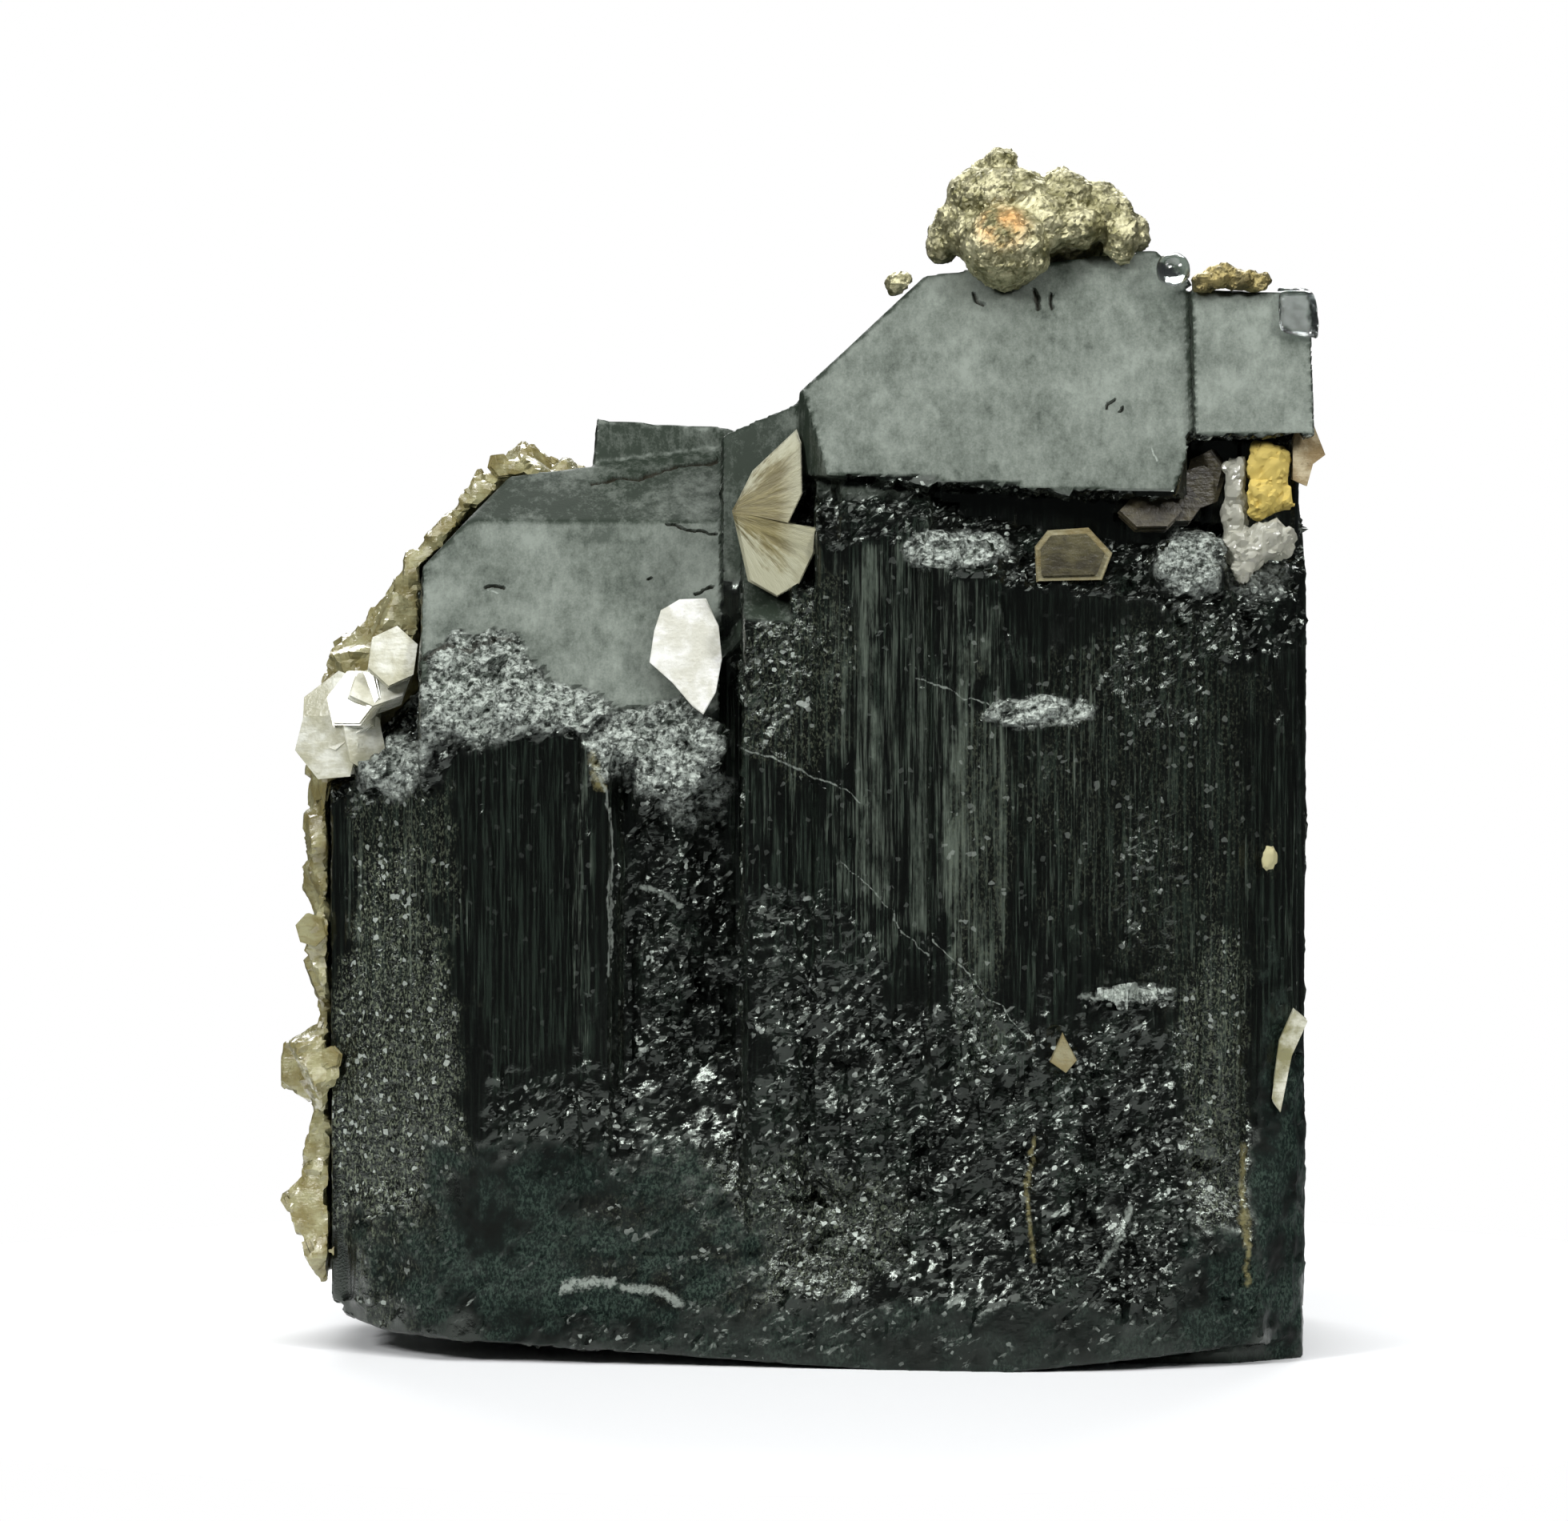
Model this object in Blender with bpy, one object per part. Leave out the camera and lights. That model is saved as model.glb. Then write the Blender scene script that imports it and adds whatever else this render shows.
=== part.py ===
"""Ferberite specimen: a black, upright crystal group with grey chisel-shaped tips.

Muscovite mica coats its left side and stands in its hollows, brassy pyrite sits on its crest,
and quartz, yellow ochre and small flakes fill the ledge under its right-hand tip.

Lengths below are in millimetres and are turned into metres where a mesh is made.
+X is to the right and +Y to the back, seen from the front. The origin is the middle of the
bounding box on the surface that the specimen stands on.
"""

import math
import random

import bmesh
import bpy
from mathutils import Matrix, Vector

MM = 0.001

# Driving dimensions of the whole specimen, and the gap between two of its minerals
HALF_WIDTH = 33.0
HALF_DEPTH = 20.0
GAP = 0.3

# Slope of the grey tip faces: how far a face runs back for each millimetre that it climbs
TIP_SLOPE = 0.65

# Left tip: its front face starts at this height and breaks into a flatter facet at the crease
LEFT_TIP_FOOT = 41.0
LEFT_TIP_FRONT = -14.0
LEFT_TIP_CREASE = 52.25
UPPER_SLOPE = 1.6

# Main tip: a cap whose lower front edge overhangs the ledge
CAP_FRONT = -16.0
CAP_FOOT = 54.2

# The stem under the main tip stands back from the ledge, which climbs to it
STEM_FRONT = -13.0
LEDGE_BACK = 52.8

# The outer faces of the ferberite at the two sides
LEFT_SIDE = -29.3
RIGHT_SIDE = 31.85


def clear_scene():
    for obj in list(bpy.data.objects):
        bpy.data.objects.remove(obj, do_unlink=True)


def new_collection(name):
    collection = bpy.data.collections.new(name)
    bpy.context.scene.collection.children.link(collection)
    return collection


def surface_finish(name, colour, roughness, metallic=0.0):
    finish = bpy.data.materials.new(name)
    finish.use_nodes = True
    shader = finish.node_tree.nodes["Principled BSDF"]
    shader.inputs["Base Color"].default_value = (*colour, 1.0)
    shader.inputs["Roughness"].default_value = roughness
    shader.inputs["Metallic"].default_value = metallic
    return finish


def shape_object(name, mesh):
    """Turns a bmesh in millimetres into an object in metres."""
    bmesh.ops.recalc_face_normals(mesh, faces=mesh.faces)
    bmesh.ops.scale(mesh, vec=(MM, MM, MM), verts=mesh.verts)
    data = bpy.data.meshes.new(name)
    mesh.to_mesh(data)
    mesh.free()
    obj = bpy.data.objects.new(name, data)
    SHAPES.objects.link(obj)
    return obj


def cut_away(mesh, point, normal):
    """Cuts off what lies on the side that the normal points to, and closes the cut."""
    everything = mesh.verts[:] + mesh.edges[:] + mesh.faces[:]
    bmesh.ops.bisect_plane(
        mesh, geom=everything, dist=1e-6, plane_co=point, plane_no=normal, clear_outer=True
    )
    rim = [edge for edge in mesh.edges if edge.is_boundary]
    bmesh.ops.holes_fill(mesh, edges=rim)


def crystal(name, outline, low, high, facets=(), grow=0.0):
    """A convex crystal: an upright prism on an anticlockwise outline, cut by facets.

    Each facet is three points on its plane; the middle of the prism stays.
    """
    xs = [x for x, y in outline]
    ys = [y for x, y in outline]
    heart = Vector((sum(xs) / len(xs), sum(ys) / len(ys), (low + high) / 2))
    planes = []
    for (x0, y0), (x1, y1) in zip(outline, outline[1:] + outline[:1]):
        planes.append((Vector((x0, y0, 0)), Vector((y1 - y0, x0 - x1, 0))))
    for corners in facets:
        a, b, c = (Vector(corner) for corner in corners)
        normal = (b - a).cross(c - a)
        if normal.dot(heart - a) > 0:
            normal.negate()
        planes.append((a, normal))
    mesh = bmesh.new()
    bmesh.ops.create_cube(mesh, size=1.0)
    spread = Vector((max(xs) - min(xs) + 2, max(ys) - min(ys) + 2, high - low + 2 * grow))
    middle = Vector(((max(xs) + min(xs)) / 2, (max(ys) + min(ys)) / 2, (high + low) / 2))
    bmesh.ops.scale(mesh, vec=spread, verts=mesh.verts)
    bmesh.ops.translate(mesh, vec=middle, verts=mesh.verts)
    for point, normal in planes:
        normal.normalize()
        cut_away(mesh, point + normal * grow, normal)
    return shape_object(name, mesh)


def plate(name, centre, radius, thickness, facing, spin=0.0, stretch=1.0, grow=0.0):
    """A six-sided mica book: its flat faces look along facing, and stretch makes it longer."""
    mesh = bmesh.new()
    bmesh.ops.create_cone(
        mesh,
        cap_ends=True,
        segments=6,
        radius1=radius + grow,
        radius2=(radius + grow) * 0.94,
        depth=thickness + 2 * grow,
    )
    bmesh.ops.scale(mesh, vec=(stretch, 1.0, 1.0), verts=mesh.verts)
    turn = Vector(facing).to_track_quat("Z", "Y").to_matrix().to_4x4()
    turn = Matrix.Translation(Vector(centre)) @ turn @ Matrix.Rotation(math.radians(spin), 4, "Z")
    bmesh.ops.transform(mesh, matrix=turn, verts=mesh.verts)
    return shape_object(name, mesh)


def lump(name, centre, radius, seed, squash=(1.0, 1.0, 1.0), roughness=0.08, fine=2, grow=0.0):
    """A rounded knob with a slightly uneven surface."""
    dice = random.Random(seed)
    mesh = bmesh.new()
    bmesh.ops.create_icosphere(mesh, subdivisions=fine, radius=1.0)
    for corner in mesh.verts:
        reach = radius * (1 + dice.uniform(-roughness, roughness))
        way = Vector(corner.co)
        corner.co = Vector((way.x * squash[0], way.y * squash[1], way.z * squash[2])) * reach
        corner.co += way * grow
    bmesh.ops.translate(mesh, vec=Vector(centre), verts=mesh.verts)
    return shape_object(name, mesh)


def fused(name, shapes):
    """Joins overlapping shapes into one solid and removes the loose shapes."""
    base, others = shapes[0], shapes[1:]
    for other in others:
        join = base.modifiers.new("join", "BOOLEAN")
        join.operation = "UNION"
        join.solver = "MANIFOLD"
        join.object = other
    solid = applied(name, base)
    for shape in shapes:
        bpy.data.objects.remove(shape, do_unlink=True)
    return solid


def applied(name, obj):
    """A copy of an object with its modifiers worked into its mesh."""
    bpy.context.view_layer.update()
    graph = bpy.context.evaluated_depsgraph_get()
    data = bpy.data.meshes.new_from_object(obj.evaluated_get(graph))
    data.name = name
    solid = bpy.data.objects.new(name, data)
    SHAPES.objects.link(solid)
    return solid


def largest_body(obj):
    """Removes crumbs that a cut left loose, so that one closed body stays."""
    mesh = bmesh.new()
    mesh.from_mesh(obj.data)
    left = set(mesh.verts)
    bodies = []
    while left:
        start = left.pop()
        body, front = {start}, [start]
        while front:
            here = front.pop()
            for edge in here.link_edges:
                there = edge.other_vert(here)
                if there in left:
                    left.discard(there)
                    body.add(there)
                    front.append(there)
        bodies.append(body)
    bodies.sort(key=len)
    for body in bodies[:-1]:
        bmesh.ops.delete(mesh, geom=list(body), context="VERTS")
    mesh.to_mesh(obj.data)
    mesh.free()


def tip_face(front, foot, x_from, x_to):
    """Three points on a grey tip face that leans back from its lower front edge."""
    climb = 10.0
    return ((x_from, front, foot), (x_to, front, foot), (x_from, front + TIP_SLOPE * climb, foot + climb))


def main_tip(grow):
    """The large grey cap: its front face, left shoulder, crest and overhanging underside."""
    crest_left = Vector((8.25, CAP_FRONT + TIP_SLOPE * (67.8 - CAP_FOOT), 67.8))
    crest_right = Vector((22.5, CAP_FRONT + TIP_SLOPE * (69.35 - CAP_FOOT), 69.35))
    down_back = Vector((0, 10.0, -8.0))
    facets = [
        tip_face(CAP_FRONT, CAP_FOOT, 2.5, 23.0),
        ((0.75, -12.0, 61.0), (8.25, -7.0, 67.8), (0.75, 8.0, 59.6)),
        (crest_left, crest_right, crest_left + down_back),
        ((22.5, -6.0, 69.35), (24.4, -8.0, 67.8), (22.8, 6.0, 68.0)),
        ((2.5, -14.0, 55.2), (23.05, -14.0, 54.0), (2.5, 4.0, 54.6)),
    ]
    outline = [(2.5, -16.4), (23.1, -16.4), (24.4, -14.2), (24.4, 7.0), (3.0, 7.0), (0.2, 4.0), (0.2, -11.4)]
    cap = crystal("cap", outline, 53.0, 72.0, facets, grow)
    stem_outline = [(2.2, STEM_FRONT), (23.4, STEM_FRONT), (23.9, 8.5), (2.0, 8.5)]
    stem = crystal("cap_stem", stem_outline, 6.0, 58.0, (), grow)
    return [cap, stem]


def right_tip(grow):
    """The small tip at the right, on a stem that stands back from the yellow pocket."""
    facets = [
        tip_face(-14.6, 58.0, 24.7, 32.0),
        ((24.7, -9.6, 67.2), (32.2, -9.6, 66.7), (24.7, 0.0, 64.5)),
        ((31.6, -9.6, 66.9), (32.3, -9.6, 66.0), (31.6, 5.0, 66.9)),
    ]
    outline = [(24.7, -15.0), (32.2, -15.0), (32.2, 5.0), (24.7, 5.0)]
    tip = crystal("right_tip", outline, 57.8, 68.0, facets, grow)
    stem_outline = [(23.2, -10.6), (31.5, -10.6), (31.5, 6.2), (23.2, 6.2)]
    stem = crystal("right_stem", stem_outline, 6.0, 59.0, (), grow)
    return [tip, stem]


def left_tip(grow):
    """The left grey tip, whose front face breaks at a crease into a flatter, darker facet."""
    crease_back = LEFT_TIP_FRONT + TIP_SLOPE * (LEFT_TIP_CREASE - LEFT_TIP_FOOT)

    def upper(z):
        return crease_back + UPPER_SLOPE * (z - LEFT_TIP_CREASE)

    facets = [
        tip_face(LEFT_TIP_FRONT, LEFT_TIP_FOOT, -23.5, -5.0),
        ((-20, crease_back, LEFT_TIP_CREASE), (-5, crease_back, LEFT_TIP_CREASE), (-20, upper(55.2), 55.2)),
        ((-23.5, -10.0, 49.45), (-18.25, -6.0, 55.0), (-23.5, 6.0, 48.6)),
        ((-18.25, upper(54.95), 54.95), (-5, upper(56.5), 56.5), (-18.25, upper(54.95) + 6, 52.5)),
        ((-23.5, -14.3, 39.6), (-5, -14.3, 40.8), (-14.0, -11.6, 34.0)),
    ]
    outline = [(-23.5, -14.3), (-4.75, -14.3), (-4.75, 5.2), (-20.0, 7.0), (-23.5, 3.0)]
    return [crystal("left_tip", outline, 30.0, 58.0, facets, grow)]


def middle_tips(grow):
    """Tips that stand behind the left one and behind the mica books in the middle."""
    behind_left = crystal(
        "behind_left_tip",
        [(-12.95, -1.4), (-3.9, -1.4), (-3.9, 9.0), (-12.0, 9.0)],
        20.0,
        61.0,
        [
            ((-12.95, -1.6, 54.0), (-3.9, 0.3, 55.6), (-12.95, 0.1, 58.2)),
            ((-12.95, 0.9, 58.2), (-3.9, 1.2, 57.95), (-12.95, 8.0, 53.9)),
            ((-12.95, -3.0, 55.0), (-12.7, -1.0, 58.2), (-12.95, 6.0, 55.0)),
        ],
        grow,
    )
    behind_middle = crystal(
        "behind_middle_tip",
        [(-4.6, -10.4), (0.9, -11.2), (0.9, 8.2), (-4.6, 8.2)],
        20.0,
        59.6,
        [
            ((-4.6, -10.0, 49.4), (0.9, -10.0, 49.4), (-4.6, -4.2, 59.0)),
            ((-4.0, -4.4, 57.7), (-0.5, -4.2, 59.5), (-4.0, 6.0, 52.5)),
        ],
        grow,
    )
    return [behind_left, behind_middle]


# Upright columns at the back: left edge, right edge, back face, top
BACK_COLUMNS = [
    (-24.6, -21.2, 12.4, 32.5),
    (-21.6, -17.3, 14.3, 38.5),
    (-17.7, -14.1, 15.5, 33.2),
    (-14.5, -10.4, 16.6, 42.0),
    (-10.8, -7.9, 15.2, 38.8),
    (-8.3, -4.6, 16.1, 47.5),
    (-5.0, -1.6, 14.3, 51.5),
    (-2.0, 1.7, 15.7, 48.3),
    (1.3, 4.4, 17.2, 53.6),
    (4.0, 9.3, 18.1, 57.8),
    (8.9, 12.8, 17.3, 54.5),
    (12.4, 17.9, 18.4, 59.4),
    (17.5, 20.8, 16.9, 55.2),
    (20.4, 24.3, 15.8, 51.4),
    (23.9, 27.7, 14.5, 54.0),
    (27.3, 29.9, 13.3, 47.2),
    (29.5, 31.6, 11.1, 43.5),
]

# Upright columns of the right side: front edge, back edge, how far out, top
RIGHT_COLUMNS = [
    (-12.6, -10.1, 31.78, 47.3),
    (-10.4, -6.2, 31.93, 50.4),
    (-6.6, -3.9, 31.62, 52.0),
    (-4.3, 0.7, 31.88, 49.2),
    (0.3, 3.1, 31.55, 51.1),
    (2.7, 7.3, 31.84, 46.5),
    (6.9, 9.9, 31.5, 43.0),
]


def back_and_side_columns(grow):
    """Parallel crystals of the back and the right side, each with a sloping tip."""
    shapes = []
    for number, (left, right, back, top) in enumerate(BACK_COLUMNS):
        middle = (left + right) / 2
        facets = [
            ((left, back, top - 7.5), (right, back, top - 7.9), (left, back - 6.5, top)),
            ((middle, back - 6.5, top + 0.2), (right, back - 6.5, top - 2.6), (middle, 0.0, top + 1.0)),
        ]
        outline = [(left, 4.0), (right, 4.0), (right, back - 0.6), (right - 0.5, back), (left, back - 0.25)]
        shapes.append(crystal(f"back_column_{number}", outline, 3.0, top + 2.0, facets, grow))
    for number, (front, back, side, top) in enumerate(RIGHT_COLUMNS):
        facets = [((side, front, top - 1.8), (side, back, top - 2.0), (side - 4.0, front, top + 1.0))]
        outline = [(20.0, front), (side - 0.3, front), (side, front + 0.3), (side - 0.1, back), (20.0, back)]
        shapes.append(crystal(f"right_column_{number}", outline, 3.0, top + 2.0, facets, grow))
    return shapes


# Upright columns of the front wall: left edge, right edge, front face, top edge
FRONT_COLUMNS = [
    (-19.8, -18.5, -14.6, 38.2),
    (-18.6, -13.3, -14.1, 39.2),
    (-13.4, -11.6, -14.7, 38.9),
    (-3.3, -0.2, -16.1, 46.5),
    (-0.4, 1.3, -15.8, 48.4),
    (1.2, 2.9, -16.4, 51.6),
    (2.7, 4.2, -16.6, 52.9),
    (4.0, 8.4, -16.4, 53.0),
    (8.2, 9.9, -17.2, 50.6),
    (9.7, 12.8, -17.5, 49.3),
    (12.6, 17.4, -16.8, 48.7),
    (17.2, 20.2, -16.9, 48.2),
    (20.0, 23.0, -16.4, 48.0),
    (22.8, 25.3, -16.8, 47.3),
    (25.1, 27.6, -16.5, 46.8),
    (27.4, 29.6, -15.0, 47.4),
    (29.4, 31.2, -14.2, 48.2),
    # Shorter columns that end in a ledge part of the way up
    (12.0, 18.2, -17.6, 40.4),
    (18.0, 23.4, -17.3, 22.6),
    (15.8, 18.0, -18.2, 19.6),
    (-3.0, 0.2, -16.9, 28.0),
]


def front_wall(grow):
    """The striated front: a bank of parallel columns, each with a top that slopes to the back."""
    dice = random.Random(11)
    shapes = []
    for number, (left, right, front, top) in enumerate(FRONT_COLUMNS):
        slope = ((left, front, top), (right, front, top - 0.25), (left, front + 4.0, top + 3.0))
        bevel = 0.18 + 0.012 * number
        outline = [
            (left + bevel, front),
            (right - 1.4 * bevel, front + 0.12),
            (right, front + bevel),
            (right, -6.0),
            (left, -6.0),
            (left, front + 0.8 * bevel),
        ]
        shapes.append(crystal(f"column_{number}", outline, 3.0, top + 6.0, [slope], grow))
        for rib in range(round((right - left) / 1.5)):
            width = dice.uniform(0.3, 0.85)
            edge = dice.uniform(left + bevel, right - 1.5 * bevel - width)
            proud = front - dice.uniform(0.1, 0.3)
            rib_top = top - dice.uniform(0.8, 7.0)
            rib_foot = dice.uniform(8.0, 0.6 * top)
            sunk = front + 0.2
            far = edge + width
            ends = [
                ((edge, proud, rib_top - 3.0), (far, proud, rib_top - 2.6), (edge, sunk, rib_top + 1.5)),
                ((edge, proud, rib_foot + 3.0), (far, proud, rib_foot + 2.5), (edge, sunk, rib_foot - 2.0)),
            ]
            sides = [(edge, proud), (far, proud + 0.05), (far, front + 1.0), (edge, front + 1.0)]
            shapes.append(crystal("rib", sides, rib_foot - 3.0, rib_top + 2.0, ends, grow))
    return shapes


def side_walls(grow):
    """The left oblique face, the body behind the wall, the valley and the right side."""
    left_face = crystal(
        "left_face",
        [(LEFT_SIDE, -8.2), (-19.7, -14.5), (-11.0, -13.4), (-9.0, 11.0), (-25.5, 11.6), (LEFT_SIDE, 6.4)],
        3.0,
        46.0,
        [
            ((LEFT_SIDE, -8.2, 34.6), (-19.8, -14.5, 38.4), (-20.0, -9.0, 44.5)),
            ((-19.8, -14.5, 38.4), (-11.6, -14.2, 40.0), (-18.0, -11.0, 44.6)),
            ((LEFT_SIDE, -8.0, 35.5), (-23.0, -8.0, 42.5), (LEFT_SIDE, 6.0, 33.5)),
            ((-25.5, 11.6, 33.0), (-9.0, 11.0, 37.0), (-17.0, 3.0, 45.0)),
        ],
        grow,
    )
    valley = crystal(
        "valley",
        [(-12.0, -13.6), (-8.5, -12.8), (-2.5, -14.8), (3.0, -14.8), (3.0, 12.0), (-12.0, 12.0)],
        3.0,
        56.0,
        [
            ((-12.0, -13.6, 36.0), (-2.0, -14.9, 42.0), (-8.0, -9.0, 45.0)),
            ((-4.4, -14.0, 44.0), (2.4, -14.0, 54.4), (-4.4, -4.0, 46.0)),
            ((-12.0, 12.0, 42.0), (3.0, 12.0, 48.0), (-4.0, 2.0, 55.0)),
        ],
        grow,
    )
    body = crystal(
        "body",
        [
            (2.0, -15.4),
            (27.4, -15.4),
            (RIGHT_SIDE, -12.4),
            (RIGHT_SIDE - 0.8, 9.0),
            (22.0, 12.6),
            (2.0, 12.0),
        ],
        0.0,
        56.0,
        [
            ((2.0, -15.6, 50.0), (26.0, -15.6, 49.4), (2.0, STEM_FRONT + 0.2, LEDGE_BACK)),
            ((27.6, -15.3, 48.0), (RIGHT_SIDE, -12.4, 49.6), (27.6, -11.0, 51.4)),
            ((2.0, 12.0, 49.0), (31.0, 12.0, 47.0), (16.0, -2.0, 57.0)),
        ],
        grow,
    )
    return [left_face, valley, body]


def base_mass(grow):
    """The broken foot: a wide, facetted mass whose lower front bulges to the right."""
    outline = [
        (-28.4, -8.6),
        (-22.0, -14.9),
        (-8.0, -16.9),
        (4.0, -18.8),
        (13.0, -HALF_DEPTH),
        (20.0, -19.7),
        (29.0, -16.6),
        (31.7, -12.6),
        (31.7, 12.0),
        (21.0, 18.6),
        (4.0, HALF_DEPTH),
        (-15.0, 18.4),
        (-26.4, 11.6),
        (-28.4, 3.0),
    ]
    facets = [
        ((13.0, -HALF_DEPTH, 7.0), (20.0, -19.7, 6.0), (16.0, -16.6, 19.0)),
        ((4.0, -18.8, 6.5), (13.0, -20.0, 7.4), (5.0, -16.0, 17.5)),
        ((-8.0, -16.9, 5.0), (4.0, -18.8, 6.0), (-4.0, -14.6, 15.0)),
        ((-22.0, -14.9, 5.0), (-8.0, -16.9, 4.5), (-14.0, -13.2, 14.0)),
        ((-28.4, -8.6, 11.0), (-22.0, -14.9, 5.0), (-22.0, -11.4, 15.0)),
        ((20.0, -19.7, 6.0), (29.0, -16.6, 8.0), (26.0, -15.2, 17.0)),
        ((4.0, HALF_DEPTH, 7.0), (-15.0, 18.4, 9.0), (-4.0, 14.0, 18.0)),
        ((4.0, HALF_DEPTH, 7.0), (21.0, 18.6, 10.0), (14.0, 13.6, 19.0)),
        ((-26.4, 11.6, 8.0), (-15.0, 18.4, 9.0), (-19.0, 11.0, 17.5)),
        ((-28.4, 3.0, 8.9), (-28.4, -8.6, 8.9), (-26.0, -3.0, 18.0)),
        # The left part of the foot is broken off a little higher than the right part
        ((5.0, -19.0, 0.0), (-28.0, -13.0, 1.7), (-26.0, 12.0, 0.0)),
        ((-28.4, -8.6, 2.2), (-26.2, -14.9, 1.4), (-28.8, 3.0, 2.8)),
        ((31.9, -14.0, 1.5), (13.0, -21.0, 0.0), (31.9, 0.0, 0.8)),
    ]
    foot = crystal("foot", outline, 0.0, 19.0, facets, grow)
    toe = crystal(
        "left_toe",
        [(LEFT_SIDE, -7.4), (-26.6, -11.4), (-24.5, -10.0), (-24.5, 4.0), (LEFT_SIDE, 2.0)],
        3.0,
        9.4,
        [((LEFT_SIDE, -7.0, 7.0), (-26.6, -11.4, 8.4), (-27.0, 2.0, 8.8))],
        grow,
    )
    return [foot, toe]


# Knobs with a larger radius than this get a finer mesh
FINE_KNOB = 1.8

# Knobs of broken ferberite on the ledges: centre x, y, z, radius and squash along x, y, z
KNOBS = [
    ((24.3, -15.2, 49.6), 2.35, (1.05, 0.75, 0.95)),
    ((25.6, -15.0, 48.6), 1.5, (1.0, 0.8, 1.0)),
    ((8.3, -16.0, 51.4), 0.85, (2.0, 0.9, 0.8)),
    ((10.9, -16.5, 50.3), 0.95, (2.1, 0.9, 0.8)),
    ((14.9, -17.1, 40.7), 0.95, (3.2, 0.9, 0.75)),
    ((-21.6, -12.9, 40.3), 1.7, (1.3, 0.7, 0.9)),
    ((-18.6, -13.6, 40.6), 1.9, (1.4, 0.6, 1.0)),
    ((-16.2, -13.9, 40.1), 1.3, (1.2, 0.7, 0.9)),
    ((-21.9, -12.2, 42.8), 1.5, (1.1, 0.7, 0.9)),
    ((-19.6, -12.3, 43.2), 1.6, (1.2, 0.7, 0.9)),
    ((-17.4, -12.7, 42.6), 1.4, (1.1, 0.7, 0.8)),
    ((-13.2, -13.9, 39.9), 1.1, (1.9, 0.7, 0.8)),
    ((-10.2, -13.6, 38.9), 1.7, (1.2, 0.6, 1.0)),
    ((-7.8, -14.2, 37.4), 1.9, (1.1, 0.6, 1.2)),
    ((-8.9, -13.8, 35.3), 1.3, (1.2, 0.7, 1.1)),
    ((-5.2, -14.7, 38.6), 1.4, (1.1, 0.7, 1.2)),
    ((20.4, -17.4, 23.0), 0.7, (3.4, 0.9, 0.8)),
    ((-25.9, -9.8, 36.4), 1.6, (1.4, 0.8, 1.0)),
    ((-27.5, -8.9, 34.7), 1.1, (1.0, 0.8, 1.3)),
]


def knobs(grow):
    """Granular knobs and ridges of broken ferberite on the ledges."""
    shapes = []
    for number, (centre, radius, squash) in enumerate(KNOBS):
        fine = 2 if radius > FINE_KNOB else 1
        shapes.append(lump("knob", centre, radius, number, squash, 0.13, fine, grow))
    return shapes


# How many grains the broken lower front has
BROKEN_GRAINS = 20


def broken_grains(grow):
    """Blunt, half-sunk grains that make the lower front uneven."""
    dice = random.Random(5)
    shapes = []
    for number in range(BROKEN_GRAINS):
        x = -9.0 + 36.0 * ((number * 0.618) % 1.0)
        z = dice.uniform(8.5, 26.0)
        front = -14.9 - 1.9 * min(1.0, (x + 12.0) / 16.0) - 1.5 * max(0.0, (17.0 - z) / 12.0)
        squash = (dice.uniform(0.7, 1.5), 0.55, dice.uniform(0.6, 1.4))
        centre = (x, front + 0.25, z)
        shapes.append(lump("grain", centre, dice.uniform(0.9, 1.7), number, squash, 0.2, 1, grow))
    return shapes


def ferberite(grow):
    tips = main_tip(grow) + right_tip(grow) + left_tip(grow) + middle_tips(grow)
    walls = side_walls(grow) + back_and_side_columns(grow) + front_wall(grow) + base_mass(grow)
    return walls + tips + knobs(grow) + broken_grains(grow)


# Left mica crust, from its top down the side: distance to the right, height, book radius
CRUST_BOOKS = [
    (-14.6, 54.6, 1.3),
    (-17.3, 54.7, 1.7),
    (-19.6, 53.3, 2.0),
    (-21.7, 50.9, 2.1),
    (-23.6, 48.3, 2.2),
    (-25.4, 45.6, 2.5),
    (-27.3, 42.4, 2.7),
    (-28.6, 38.8, 2.8),
    (-28.9, 35.4, 2.4),
    (-29.1, 32.2, 2.2),
    (-29.2, 29.2, 2.3),
    (-29.2, 26.4, 2.3),
    (-29.2, 23.6, 1.9),
    (-29.6, 17.6, 2.9),
    (-29.4, 13.0, 2.3),
    (-29.2, 9.8, 2.5),
    (-29.0, 6.2, 2.3),
]


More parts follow.
